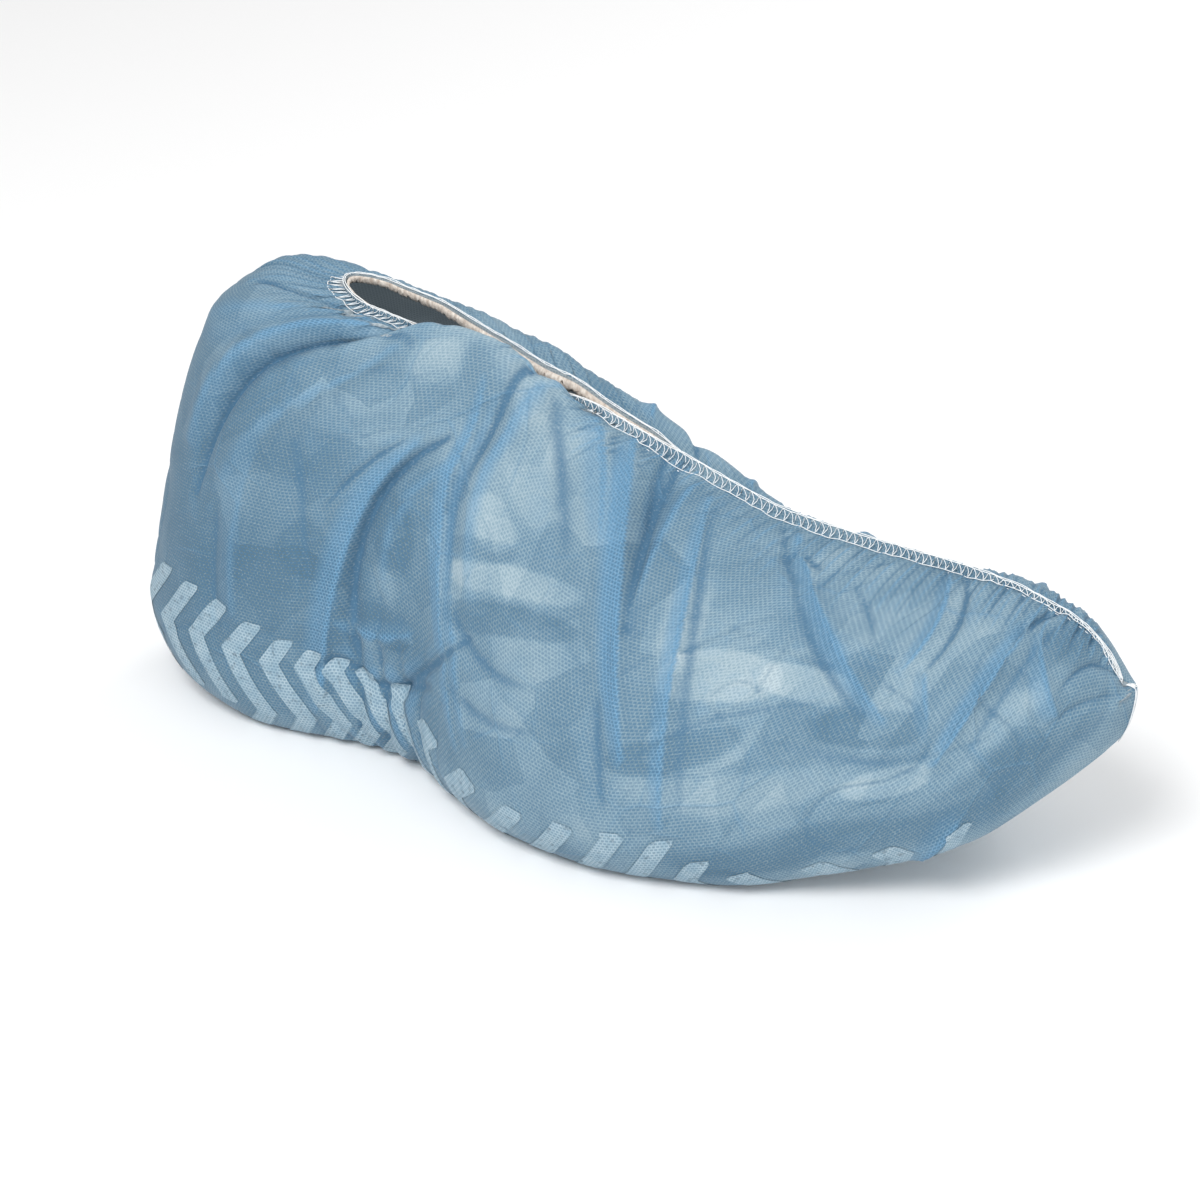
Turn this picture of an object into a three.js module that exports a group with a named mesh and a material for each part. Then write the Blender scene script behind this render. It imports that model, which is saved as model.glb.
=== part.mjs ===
// Anti-slip shoe cover, worn shape: a bag of thin non-woven cloth drawn in by an elastic at its top,
// with a non-slip print of zigzag stripes under and around its sole.
// Millimetres. x runs from the heel's back to the toe, -y is the near side, z is up.
import * as THREE from "three";

// ---------------------------------------------------------------- sizes
const LENGTH = 334; // heel's back to toe
const WALL = 1.2; // cloth
const HEEL_ROUND = 52; // how far the round heel reaches along the length
const TOE_ROUND = 34;
const SPINE_START = 50; // the sole's middle line, which its columns fan out from
const SPINE_END = LENGTH - 40;
const HEEL_LEAN = 30; // how far the heel's back leans forward at the top
const LEAN_REACH = 95;
const OPENING_START = 76; // the opening's ends
const OPENING_END = 330;
const OPENING_HEEL_ROUND = 14;
const OPENING_TOE_ROUND = 6;

const ELASTIC_WIDTH = 6;
const ELASTIC_THICK = 1;
const ELASTIC_INSET = 1; // below the opening's edge
const ELASTIC_GAP = 0.45;

const STRIPE_WIDTH = 7.4;
const STRIPE_THICK = 0.7;
const STRIPE_GAP = 0.8;
const STRIPE_PITCH = 15.5;
const STRIPE_ARM = 20; // across the sole, from one corner of the zigzag to the next
const STRIPE_SWEEP = 12.5; // along the sole, over one arm
const STRIPE_FIRST_CORNER = 62; // the near side's first corner, measured round the sole from its middle
const STRIPE_STEP = 4.5; // between the points of a stripe where it turns up round the sole's edge
const STRIPE_BEND = 50; // how far round the sole's edge takes such points
const FIRST_STRIPE = 49;
const STRIPE_COUNT = 15;
const HEEL_STRIPES = [33.5, 18]; // short stripes round the heel, x of their corners
const HEEL_STRIPE_END = 48; // how near to the middle they come

const COLUMNS = 108; // round the cover
const SOLE_ROWS = [-2, -1.6, -1.25]; // -2 is the sole's middle line, -1 its edge
const CORNER_ROWS = [-1, -0.72, -0.36]; // to 0, the widest line
const UPPER_ROWS = 10; // evenly from the widest line to the elastic, 1 is the opening's edge

// The foot: half widths of the widest line, how far in the sole's edge lies, and heights.
const FOOT = table(
  ["x", "near", "far", "nearIn", "farIn", "sole", "belly"],
  [
    [0, 36, 42, 16, 14, 13, 32],
    [35, 38, 44, 14, 13, 2, 25],
    [60, 39, 45, 11, 11, 0, 23],
    [95, 37, 46, 13, 13, 0, 23],
    [115, 42, 46, 15, 14, 0, 22],
    [135, 55, 47, 14, 12, 0, 18],
    [160, 67, 48, 11, 10, 0, 18],
    [190, 71, 50, 9, 9, 0, 20],
    [225, 65, 52, 10, 9, 0, 22],
    [262, 52, 48, 11, 10, 6, 30],
    [295, 40, 39, 12, 12, 19, 42],
    [334, 26, 26, 12, 12, 46, 60],
  ],
);

// The upper: the edge's height and its distance from the middle on each side, how square the
// shoulders are (2 is round), and how far the cloth puffs up above the edge.
const UPPER = table(
  ["x", "edge", "nearSlit", "farSlit", "nearSquare", "farSquare", "nearPuff", "farPuff"],
  [
    [76, 148, 10, 10, 4.6, 4.6, 1, 3],
    [100, 141, 10, 10, 3.6, 3.2, 0, 0],
    [120, 137, 10, 10, 3.0, 2.7, 6, 0],
    [140, 131, 10, 10, 2.6, 2.4, 10, 5],
    [160, 122, 9, 9, 2.2, 2.2, 4, 9],
    [190, 110, 3.5, 3.5, 1.8, 2.0, 0, 8],
    [230, 98, 3, 3, 1.7, 1.8, 0, 3],
    [285, 93, 3, 3, 1.7, 1.7, 0, 3],
    [300, 90, 3, 3, 1.7, 1.8, 0, 3],
    [315, 84, 3, 3, 1.7, 1.8, 0, 2],
    [330, 68, 3, 3, 1.7, 1.7, 0, 0],
  ],
);
const PUFF_AT = 0.78; // of the way from the widest line to the edge
const PUFF_SPREAD = 0.16;

// Folds of the slack cloth: three points on each (x, and the share of the way up from the widest
// line to the edge), half width, and height, which is negative for a groove.
const NEAR = -1;
const FAR = 1;
const FOLDS = [
  { name: "heel top groove", side: NEAR, x: [4, 14, 24], up: [0.84, 0.88, 0.93], width: 5, height: -3 },
  { name: "heel groove, rise", side: NEAR, x: [32, 33, 40], up: [0.5, 0.66, 0.76], width: 8, height: -5 },
  { name: "heel groove, run", side: NEAR, x: [40, 50, 60], up: [0.76, 0.84, 0.88], width: 8, height: -4 },
  { name: "heel flank crease", side: NEAR, x: [38, 36, 44], up: [0.5, 0.35, 0.2], width: 5, height: -1.5 },
  { name: "waist groove", side: NEAR, x: [94, 92, 80], up: [0.72, 0.45, 0.1], width: 8, height: -4 },
  { name: "waist band", side: NEAR, x: [99, 118, 138], up: [0.75, 0.5, 0.15], width: 8, height: 2 },
  { name: "instep arc", side: NEAR, x: [109, 112, 128], up: [0.84, 0.66, 0.4], width: 8, height: -3.5 },
  { name: "instep ridge", side: NEAR, x: [132, 168, 195], up: [0.9, 0.68, 0.25], width: 8, height: 4 },
  { name: "instep valley", side: NEAR, x: [150, 170, 184], up: [0.88, 0.7, 0.45], width: 9, height: -6 },
  { name: "forefoot ridge", side: NEAR, x: [166, 200, 215], up: [0.9, 0.55, 0.15], width: 6, height: 2 },
  { name: "forefoot valley", side: NEAR, x: [200, 235, 262], up: [0.9, 0.7, 0.42], width: 8, height: -3 },
  { name: "toe cap ridge", side: NEAR, x: [278, 275, 268], up: [0.85, 0.65, 0.45], width: 5, height: 1.5 },
  { name: "toe ridge", side: NEAR, x: [302, 296, 290], up: [0.86, 0.53, 0.1], width: 7, height: 3 },
  { name: "toe groove", side: NEAR, x: [311, 307, 302], up: [0.88, 0.5, 0.1], width: 5, height: -2 },
  { name: "arch fold", side: NEAR, x: [134, 118, 108], up: [0.35, 0.14, 0.04], width: 6, height: -2.5 },
  { name: "heel back groove", side: FAR, x: [10, 20, 34], up: [0.8, 0.55, 0.35], width: 7, height: -3 },
  { name: "far waist groove", side: FAR, x: [84, 88, 98], up: [0.8, 0.45, 0.1], width: 7, height: -3 },
  { name: "far instep ridge", side: FAR, x: [140, 158, 166], up: [0.9, 0.6, 0.2], width: 7, height: 3 },
  { name: "far instep valley", side: FAR, x: [160, 178, 190], up: [0.92, 0.6, 0.3], width: 7, height: -4 },
  { name: "far toe valley", side: FAR, x: [218, 240, 250], up: [0.92, 0.6, 0.25], width: 7, height: -2.5 },
  { name: "far toe ridge", side: FAR, x: [296, 290, 282], up: [0.88, 0.5, 0.12], width: 7, height: 2.5 },
];

const FOLD_FADE = 0.3; // of the way up, below which the folds die away, so that the print lies smooth

// Gathers that the elastic draws into the cloth next to the opening.
const GATHER_HEIGHT = 1.3;
const GATHER_REACH = 0.3; // of the way down from the edge
const GATHER_SPACING = 21; // along the edge
const GATHER_START = 60; // none round the heel's smooth back

// ---------------------------------------------------------------- tables and curves
function table(names, rows) {
  const columns = {};
  names.forEach((name, i) => {
    columns[name] = rows.map((row) => row[i]);
  });
  return columns;
}

// Slopes that let a cubic through the values keep their ups and downs without overshoot.
function slopes(xs, ys) {
  const steps = xs.slice(1).map((x, i) => (ys[i + 1] - ys[i]) / (x - xs[i]));
  return xs.map((_, i) => {
    const before = steps[Math.max(i - 1, 0)];
    const after = steps[Math.min(i, steps.length - 1)];
    return before * after <= 0 ? 0 : (2 * before * after) / (before + after);
  });
}

function read(rows, name, at) {
  const xs = rows.x;
  const ys = rows[name];
  const m = slopes(xs, ys);
  const x = THREE.MathUtils.clamp(at, xs[0], xs[xs.length - 1]);
  let i = 0;
  while (i < xs.length - 2 && x > xs[i + 1]) i += 1;
  const h = xs[i + 1] - xs[i];
  const t = (x - xs[i]) / h;
  return (
    ys[i] * (2 * t ** 3 - 3 * t ** 2 + 1) +
    m[i] * h * (t ** 3 - 2 * t ** 2 + t) +
    ys[i + 1] * (3 * t ** 2 - 2 * t ** 3) +
    m[i + 1] * h * (t ** 3 - t ** 2)
  );
}

// 1 along the middle, falling to 0 in a round end at each side.
function roundEnds(x, start, startRound, endRound, end) {
  const a = THREE.MathUtils.clamp((start + startRound - x) / startRound, 0, 1);
  const b = THREE.MathUtils.clamp((x - (end - endRound)) / endRound, 0, 1);
  return Math.sqrt(1 - a * a) * Math.sqrt(1 - b * b);
}

// ---------------------------------------------------------------- the cloth's form
// A column is an angle: 0 at the heel's back, over the near side, PI at the toe, over the far side.
const sideOf = (angle) => (Math.sin(angle) >= 0 ? NEAR : FAR);
const sideName = (angle, name) => (sideOf(angle) === NEAR ? `near${name}` : `far${name}`);

function widestLine(angle) {
  const x = (LENGTH * (1 - Math.cos(angle))) / 2;
  const half = read(FOOT, sideOf(angle) === NEAR ? "near" : "far", x);
  return { x, y: sideOf(angle) * half * roundEnds(x, 0, HEEL_ROUND, TOE_ROUND, LENGTH) };
}

function soleEdge(angle) {
  const wide = widestLine(angle);
  const spine = THREE.MathUtils.clamp(wide.x, SPINE_START, SPINE_END);
  const reach = Math.hypot(wide.x - spine, wide.y) + 1e-9;
  const inset = Math.min(read(FOOT, sideName(angle, "In"), wide.x), reach * 0.6);
  const keep = 1 - inset / reach;
  return { spine, x: spine + (wide.x - spine) * keep, y: wide.y * keep };
}

function openingEdge(angle) {
  const along = (1 - Math.cos(angle)) / 2;
  const x = OPENING_START + (OPENING_END - OPENING_START) * along;
  const ends = roundEnds(x, OPENING_START, OPENING_HEEL_ROUND, OPENING_TOE_ROUND, OPENING_END);
  const y = sideOf(angle) * read(UPPER, sideName(angle, "Slit"), x) * ends;
  return { x, y, z: read(UPPER, "edge", x) };
}

function solePoint(angle, share) {
  const edge = soleEdge(angle);
  const x = edge.spine + (edge.x - edge.spine) * share;
  return new THREE.Vector3(x, edge.y * share, read(FOOT, "sole", x));
}

function cornerPoint(angle, share) {
  const edge = soleEdge(angle);
  const wide = widestLine(angle);
  const low = read(FOOT, "sole", edge.x);
  const out = Math.sin((share * Math.PI) / 2);
  const rise = 1 - Math.cos((share * Math.PI) / 2);
  return new THREE.Vector3(
    edge.x + (wide.x - edge.x) * out,
    edge.y + (wide.y - edge.y) * out,
    low + (read(FOOT, "belly", wide.x) - low) * rise,
  );
}

function upperPoint(angle, turn) {
  const wide = widestLine(angle);
  const edge = openingEdge(angle);
  const square = read(UPPER, sideName(angle, "Square"), edge.x);
  const rise = Math.sin((turn * Math.PI) / 2) ** (2 / square);
  const out = Math.max(Math.cos((turn * Math.PI) / 2), 0) ** (2 / square);
  const puffShare = Math.exp(-(((turn - PUFF_AT) / PUFF_SPREAD) ** 2));
  const puff = read(UPPER, sideName(angle, "Puff"), edge.x) * puffShare;
  const belly = read(FOOT, "belly", wide.x);
  const lean = HEEL_LEAN * Math.max(1 - wide.x / LEAN_REACH, 0);
  return new THREE.Vector3(
    edge.x + (wide.x - edge.x + lean * rise) * out,
    edge.y + (wide.y - edge.y) * out,
    belly + (edge.z - belly) * rise + puff * (1 - rise ** 40),
  );
}

// The upper by the share of the way up, measured along the cloth.
const turnsByColumn = new Map();
function upperTurns(angle) {
  if (!turnsByColumn.has(angle)) {
    const steps = 64;
    const turns = Array.from({ length: steps + 1 }, (_, i) => (i / steps) ** 2 * (2 - i / steps));
    const points = turns.map((turn) => upperPoint(angle, turn));
    const lengths = [0];
    for (let i = 1; i <= steps; i += 1) lengths.push(lengths[i - 1] + points[i].distanceTo(points[i - 1]));
    turnsByColumn.set(angle, { turns, lengths });
  }
  return turnsByColumn.get(angle);
}

function turnAt(angle, share) {
  const { turns, lengths } = upperTurns(angle);
  const target = THREE.MathUtils.clamp(share, 0, 1) * lengths[lengths.length - 1];
  let i = 0;
  while (i < lengths.length - 2 && lengths[i + 1] < target) i += 1;
  const part = (target - lengths[i]) / (lengths[i + 1] - lengths[i]);
  return turns[i] + (turns[i + 1] - turns[i]) * part;
}

const upperLength = (angle) => upperTurns(angle).lengths.at(-1);

// row: -2 the sole's middle line, -1 the sole's edge, 0 the widest line, 1 the opening's edge
function smoothPoint(angle, row) {
  if (row <= -1) return solePoint(angle, row + 2);
  if (row <= 0) return cornerPoint(angle, row + 1);
  return upperPoint(angle, turnAt(angle, row));
}

function smoothNormal(angle, row) {
  if (row < -1.9) return new THREE.Vector3(0, 0, -1);
  const step = 0.02;
  const alongRow = smoothPoint(angle + step, row).sub(smoothPoint(angle - step, row));
  const below = smoothPoint(angle, Math.max(row - step, -2));
  const above = smoothPoint(angle, Math.min(row + step, 1));
  return alongRow.cross(above.sub(below)).normalize();
}

function foldHeight(angle, row) {
  const { x } = widestLine(angle);
  const scale = upperLength(angle);
  let height = 0;
  for (const fold of FOLDS) {
    if (fold.side !== sideOf(angle)) continue;
    let nearest = Infinity;
    for (let t = 0; t <= 1; t += 1 / 12) {
      const weights = [(1 - t) ** 2, 2 * t * (1 - t), t ** 2];
      const fx = weights[0] * fold.x[0] + weights[1] * fold.x[1] + weights[2] * fold.x[2];
      const up = weights[0] * fold.up[0] + weights[1] * fold.up[1] + weights[2] * fold.up[2];
      nearest = Math.min(nearest, Math.hypot(x - fx, (row - up) * scale));
    }
    height += fold.height * Math.exp(-((nearest / fold.width) ** 2));
  }
  return height;
}

function gatherHeight(angle, row) {
  const { x } = openingEdge(angle);
  const from = Math.max(x - OPENING_START - GATHER_START, 0) / GATHER_SPACING;
  const fade = Math.min(from, 1) * THREE.MathUtils.clamp((row - 1 + GATHER_REACH) / GATHER_REACH, 0, 1);
  return GATHER_HEIGHT * fade * Math.sin(2 * Math.PI * from + sideOf(angle)) * (1 - row ** 30);
}

function clothPoint(angle, row) {
  const point = smoothPoint(angle, row);
  if (row <= 0) return point;
  const fade = Math.min(row / FOLD_FADE, 1);
  const height = foldHeight(angle, row) * fade + gatherHeight(angle, row);
  return point.addScaledVector(smoothNormal(angle, row), height);
}

// ---------------------------------------------------------------- solids from grids of points
// A grid is rows of points. Its outward side is seen with the rows going up and the columns to the right.
function gridNormals(grid, closed) {
  const rows = grid.length;
  const columns = grid[0].length;
  const pick = (r, c) => {
    const column = closed ? (c + columns) % columns : THREE.MathUtils.clamp(c, 0, columns - 1);
    return grid[THREE.MathUtils.clamp(r, 0, rows - 1)][column];
  };
  return grid.map((line, r) =>
    line.map((_, c) => {
      const across = pick(r, c + 1).clone().sub(pick(r, c - 1));
      const up = pick(r + 1, c).clone().sub(pick(r - 1, c));
      return across.cross(up).normalize();
    }),
  );
}

const offsetGrid = (grid, normals, distance) =>
  grid.map((line, r) => line.map((point, c) => point.clone().addScaledVector(normals[r][c], distance)));

// A closed solid between two grids, with its corners shared where they coincide.
class SolidBuilder {
  constructor() {
    this.positions = [];
    this.indices = [];
    this.known = new Map();
  }

  vertex(point) {
    const key = [point.x, point.y, point.z].map((value) => value.toFixed(3)).join(" ");
    if (!this.known.has(key)) {
      this.known.set(key, this.positions.length / 3);
      this.positions.push(point.x, point.y, point.z);
    }
    return this.known.get(key);
  }

  triangle(a, b, c) {
    const [i, j, k] = [a, b, c].map((point) => this.vertex(point));
    if (i !== j && j !== k && k !== i) this.indices.push(i, j, k);
  }

  quad(a, b, c, d) {
    this.triangle(a, b, c);
    this.triangle(a, c, d);
  }

  geometry() {
    const geometry = new THREE.BufferGeometry();
    geometry.setAttribute("position", new THREE.Float32BufferAttribute(this.positions, 3));
    geometry.setIndex(this.indices);
    geometry.computeVertexNormals();
    return geometry;
  }
}

// closed: the grid goes right round. seamless: its first row folds onto itself and needs no wall.
function sheetSolid(outer, inner, { closed, seamless }) {
  const solid = new SolidBuilder();
  const rows = outer.length;
  const columns = outer[0].length;
  const spans = closed ? columns : columns - 1;
  const next = (c) => (c + 1) % columns;
  for (let c = 0; c < spans; c += 1) {
    for (let r = 0; r < rows - 1; r += 1) {
      solid.quad(outer[r][c], outer[r][next(c)], outer[r + 1][next(c)], outer[r + 1][c]);
      solid.quad(inner[r][c], inner[r + 1][c], inner[r + 1][next(c)], inner[r][next(c)]);
    }
    const top = rows - 1;
    solid.quad(outer[top][c], outer[top][next(c)], inner[top][next(c)], inner[top][c]);
    if (!seamless) solid.quad(outer[0][next(c)], outer[0][c], inner[0][c], inner[0][next(c)]);
  }
  if (!closed) {
    for (let r = 0; r < rows - 1; r += 1) {
      const last = columns - 1;
      solid.quad(outer[r][0], outer[r + 1][0], inner[r + 1][0], inner[r][0]);
      solid.quad(outer[r + 1][last], outer[r][last], inner[r][last], inner[r + 1][last]);
    }
  }
  return solid.geometry();
}

// ---------------------------------------------------------------- columns, mirrored near and far
// Angles spaced evenly along the widest line, the same on both sides, so that the sole's halves meet.
function columnAngles(count) {
  const steps = 720;
  const lengths = [0];
  for (let i = 1; i <= steps; i += 1) {
    const spans = [1, -1].map((side) => {
      const a = widestLine((side * Math.PI * (i - 1)) / steps);
      const b = widestLine((side * Math.PI * i) / steps);
      return Math.hypot(b.x - a.x, b.y - a.y);
    });
    lengths.push(lengths[i - 1] + (spans[0] + spans[1]) / 2);
  }
  const half = count / 2;
  const near = [];
  let i = 0;
  for (let n = 0; n <= half; n += 1) {
    const target = (lengths[steps] * n) / half;
    while (i < steps - 1 && lengths[i + 1] < target) i += 1;
    const part = (target - lengths[i]) / (lengths[i + 1] - lengths[i]);
    near.push((Math.PI * (i + part)) / steps);
  }
  const far = near.slice(1, half).map((angle) => 2 * Math.PI - angle);
  return near.concat(far.reverse());
}

const ANGLES = columnAngles(COLUMNS);

// ---------------------------------------------------------------- pieces
function bodyFabric() {
  const edgeRows = [ELASTIC_INSET + ELASTIC_WIDTH, ELASTIC_INSET, 0];
  const columnRows = ANGLES.map((angle) => {
    const length = upperLength(angle);
    const topShare = 1 - edgeRows[0] / length;
    const upper = Array.from({ length: UPPER_ROWS }, (_, i) => (topShare * i) / UPPER_ROWS);
    return [...SOLE_ROWS, ...CORNER_ROWS, ...upper, ...edgeRows.map((inset) => 1 - inset / length)];
  });
  const outer = columnRows[0].map((_, r) => ANGLES.map((angle, c) => clothPoint(angle, columnRows[c][r])));
  const normals = gridNormals(outer, true);
  normals[0] = normals[0].map(() => new THREE.Vector3(0, 0, -1));
  const inner = offsetGrid(outer, normals, -WALL);
  return { geometry: sheetSolid(outer, inner, { closed: true, seamless: true }), outer, normals };
}

// A flat band that lies inside the cloth, just below the opening's edge, all the way round.
function openingElastic(body) {
  const top = body.outer.length - 2;
  const rows = body.outer.slice(top - 1, top + 1);
  const normals = body.normals.slice(top - 1, top + 1);
  const outer = offsetGrid(rows, normals, -(WALL + ELASTIC_GAP));
  const inner = offsetGrid(rows, normals, -(WALL + ELASTIC_GAP + ELASTIC_THICK));
  return sheetSolid(outer, inner, { closed: true, seamless: false });
}

// The angle of the column whose widest point is at x.
function angleAt(x, side) {
  const turn = Math.acos(THREE.MathUtils.clamp(1 - (2 * x) / LENGTH, -1, 1));
  return side === NEAR ? turn : 2 * Math.PI - turn;
}

// The row at a distance round the sole from its middle line.
function rowAt(angle, distance) {
  const edge = soleEdge(angle);
  const flat = Math.hypot(edge.x - edge.spine, edge.y);
  if (distance <= flat) return -2 + distance / flat;
  const steps = 16;
  let travelled = flat;
  for (let i = 0; i < steps; i += 1) {
    const span = cornerPoint(angle, i / steps).distanceTo(cornerPoint(angle, (i + 1) / steps));
    if (travelled + span >= distance) return -1 + (i + (distance - travelled) / span) / steps;
    travelled += span;
  }
  return (distance - travelled) / upperLength(angle);
}

// A point above the cloth's outer face, at a distance round the sole.
function roundTheSole(x, distance, height) {
  const angle = angleAt(x, distance <= 0 ? NEAR : FAR);
  const row = rowAt(angle, Math.abs(distance));
  return clothPoint(angle, row).addScaledVector(smoothNormal(angle, row), height);
}

// How far along the sole the zigzag stands from its corner, at a distance round the sole.
function zigzag(distance) {
  const arms = (distance + STRIPE_FIRST_CORNER) / STRIPE_ARM;
  const phase = Math.abs(arms) % 2;
  return STRIPE_SWEEP * (phase > 1 ? 2 - phase : phase);
}

// Where the print ends on the sides: high round the heel, under the sole at the toe.
const PRINT = table(
  ["x", "reach"],
  [
    [0, 80],
    [25, 76],
    [50, 70],
    [80, 67],
    [128, 68],
    [158, 77],
    [185, 84],
    [222, 70],
    [247, 54],
    [285, 34],
  ],
);

// How far the flat of the sole reaches from its middle line, at its narrowest under one arm of a stripe.
function flatReach(x, side) {
  const reaches = [0, 0.5, 1].map((part) => {
    const edge = soleEdge(angleAt(x + part * STRIPE_SWEEP, side));
    return Math.hypot(edge.x - edge.spine, edge.y);
  });
  return Math.min(...reaches);
}

// Distances round the sole where a stripe gets a pair of points: at each corner of the zigzag, and
// close together where the cloth turns up round the sole's edge.
function stripeStations(from, to, x) {
  const stations = [from, to];
  for (let corner = -STRIPE_FIRST_CORNER; corner < to; corner += STRIPE_ARM) stations.push(corner);
  for (const side of [NEAR, FAR]) {
    const flat = flatReach(x, side) - STRIPE_STEP;
    for (let at = flat; at < flat + STRIPE_BEND; at += STRIPE_STEP) stations.push(side * at);
  }
  const inside = stations.filter((at) => at >= from && at <= to).sort((a, b) => a - b);
  const last = inside.length - 1;
  const apart = (at, i) => i === 0 || i === last || (at - inside[i - 1] > 1 && inside[last] - at > 1);
  return inside.filter(apart);
}

// A stripe takes a third line of points, along its middle, where the sole's edge runs slantwise under it.
function stripeLines(x) {
  const edges = [x, x + STRIPE_SWEEP].map((at) => soleEdge(angleAt(at, NEAR)).y);
  return Math.abs(edges[1] - edges[0]) > STRIPE_WIDTH ? [-0.5, 0, 0.5] : [-0.5, 0.5];
}

function gripStripe(x, from, to) {
  const stations = stripeStations(from, to, x);
  // rows run along x and columns from near to far, so the grid's outward side is downwards
  const gridAt = (height) =>
    stripeLines(x).map((part) =>
      stations.map((at) => roundTheSole(x + zigzag(at) + part * STRIPE_WIDTH, at, height)),
    );
  const outer = gridAt(STRIPE_GAP + STRIPE_THICK);
  return sheetSolid(outer, gridAt(STRIPE_GAP), { closed: false, seamless: false });
}

// ---------------------------------------------------------------- the cover
const CLOTH_BLUE = new THREE.MeshStandardMaterial({ color: 0x7ba6c6, roughness: 0.85, metalness: 0 });
const ELASTIC_CREAM = new THREE.MeshStandardMaterial({ color: 0xd8cfc2, roughness: 0.8, metalness: 0 });
const PRINT_WHITE = new THREE.MeshStandardMaterial({ color: 0xdfe9ee, roughness: 0.6, metalness: 0 });

const cover = new THREE.Group();

function add(name, geometry, material) {
  const mesh = new THREE.Mesh(geometry, material);
  mesh.name = name;
  cover.add(mesh);
}

const body = bodyFabric();
add("body_fabric", body.geometry, CLOTH_BLUE);
add("opening_elastic", openingElastic(body), ELASTIC_CREAM);

for (let i = 0; i < STRIPE_COUNT; i += 1) {
  const x = FIRST_STRIPE + i * STRIPE_PITCH;
  const reach = read(PRINT, "reach", x);
  add(`grip_stripe_${String(i + 1).padStart(2, "0")}`, gripStripe(x, -reach, reach), PRINT_WHITE);
}
HEEL_STRIPES.forEach((x, i) => {
  const reach = read(PRINT, "reach", x);
  add(`grip_heel_near_${i + 1}`, gripStripe(x, -reach, -HEEL_STRIPE_END), PRINT_WHITE);
  add(`grip_heel_far_${i + 1}`, gripStripe(x, HEEL_STRIPE_END, reach), PRINT_WHITE);
});

// The origin is under the middle of the cover, on the surface that it stands on.
const bounds = new THREE.Box3().setFromObject(cover);
const middle = bounds.getCenter(new THREE.Vector3());
cover.position.set(-middle.x, -middle.y, -bounds.min.z);

export default cover;
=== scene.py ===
"""Looks of the anti-slip shoe cover: thin blue non-woven cloth in its worn shape, with its folds and
gathers, the cream elastic and white overlock stitches round its opening, and the white zigzag print
round its sole."""

import math

import bpy
import numpy as np
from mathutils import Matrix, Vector, noise

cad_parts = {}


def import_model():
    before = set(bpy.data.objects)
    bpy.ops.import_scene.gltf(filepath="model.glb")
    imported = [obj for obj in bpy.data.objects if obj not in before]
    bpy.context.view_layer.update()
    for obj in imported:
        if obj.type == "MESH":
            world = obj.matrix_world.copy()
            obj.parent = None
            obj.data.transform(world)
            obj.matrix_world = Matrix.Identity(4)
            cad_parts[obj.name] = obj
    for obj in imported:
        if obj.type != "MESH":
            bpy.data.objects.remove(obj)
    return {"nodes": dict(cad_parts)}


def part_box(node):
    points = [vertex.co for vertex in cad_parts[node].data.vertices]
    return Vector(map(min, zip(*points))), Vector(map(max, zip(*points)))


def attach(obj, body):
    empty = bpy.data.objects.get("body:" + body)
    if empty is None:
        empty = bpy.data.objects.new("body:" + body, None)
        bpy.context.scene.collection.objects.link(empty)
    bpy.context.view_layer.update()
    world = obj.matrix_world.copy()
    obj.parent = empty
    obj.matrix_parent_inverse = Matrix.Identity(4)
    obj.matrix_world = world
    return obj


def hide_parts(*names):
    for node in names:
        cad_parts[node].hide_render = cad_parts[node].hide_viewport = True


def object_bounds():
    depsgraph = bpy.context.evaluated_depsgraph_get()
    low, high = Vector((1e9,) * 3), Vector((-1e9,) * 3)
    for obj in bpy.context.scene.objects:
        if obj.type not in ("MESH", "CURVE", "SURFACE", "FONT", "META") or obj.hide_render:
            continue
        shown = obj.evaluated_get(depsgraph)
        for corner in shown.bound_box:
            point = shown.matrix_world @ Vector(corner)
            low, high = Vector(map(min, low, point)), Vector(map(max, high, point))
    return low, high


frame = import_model()
CAD_BOUNDS = [list(corner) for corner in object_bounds()]
CLOTH_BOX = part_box("body_fabric")

# ---- Sizes
# The form is worked out in millimetres, x from the heel's back to the toe, -y the near side, z up from
# the sole, and then put where the frame has the cover.
LENGTH = 334
HEEL_ROUND = 52  # how far the round heel reaches along the cover
TOE_ROUND = 34
SPINE_START = 50  # the sole's middle line runs between these, and the sole fans out from its ends
SPINE_END = LENGTH - 40
HEEL_LEAN = 27  # how far the heel leans forward at the top, which dies out over the lean's reach
LEAN_REACH = 95
OPENING_START = 76
OPENING_END = 330
OPENING_HEEL_ROUND = 14
OPENING_TOE_ROUND = 6

NEAR = -1
FAR = 1


def table(names, rows):
    """A dict of columns, each an array, from rows of values."""
    return {name: np.array([row[i] for row in rows], float) for i, name in enumerate(names.split())}


# Half widths of the widest line, how far in from it the sole's edge lies, and the heights of both.
FOOT = table(
    "x near_half far_half near_in far_in sole belly",
    [
        (0, 36, 42, 16, 14, 13, 32),
        (35, 38, 44, 14, 13, 2, 25),
        (60, 39, 45, 11, 11, 0, 23),
        (95, 37, 46, 13, 13, 0, 23),
        (115, 42, 46, 17, 14, 0, 22),
        (135, 55, 47, 18, 12, 0, 19),
        (160, 67, 48, 16, 10, 0, 20),
        (190, 71, 50, 14, 9, 0, 22),
        (225, 65, 52, 14, 9, 0, 24),
        (262, 52, 48, 14, 10, 7, 32),
        (295, 39.5, 38.5, 13, 12, 19, 44),
        (312, 31, 30, 11, 11, 33, 54.5),
        (334, 17, 17, 9, 9, 53, 67),
    ],
)
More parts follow.
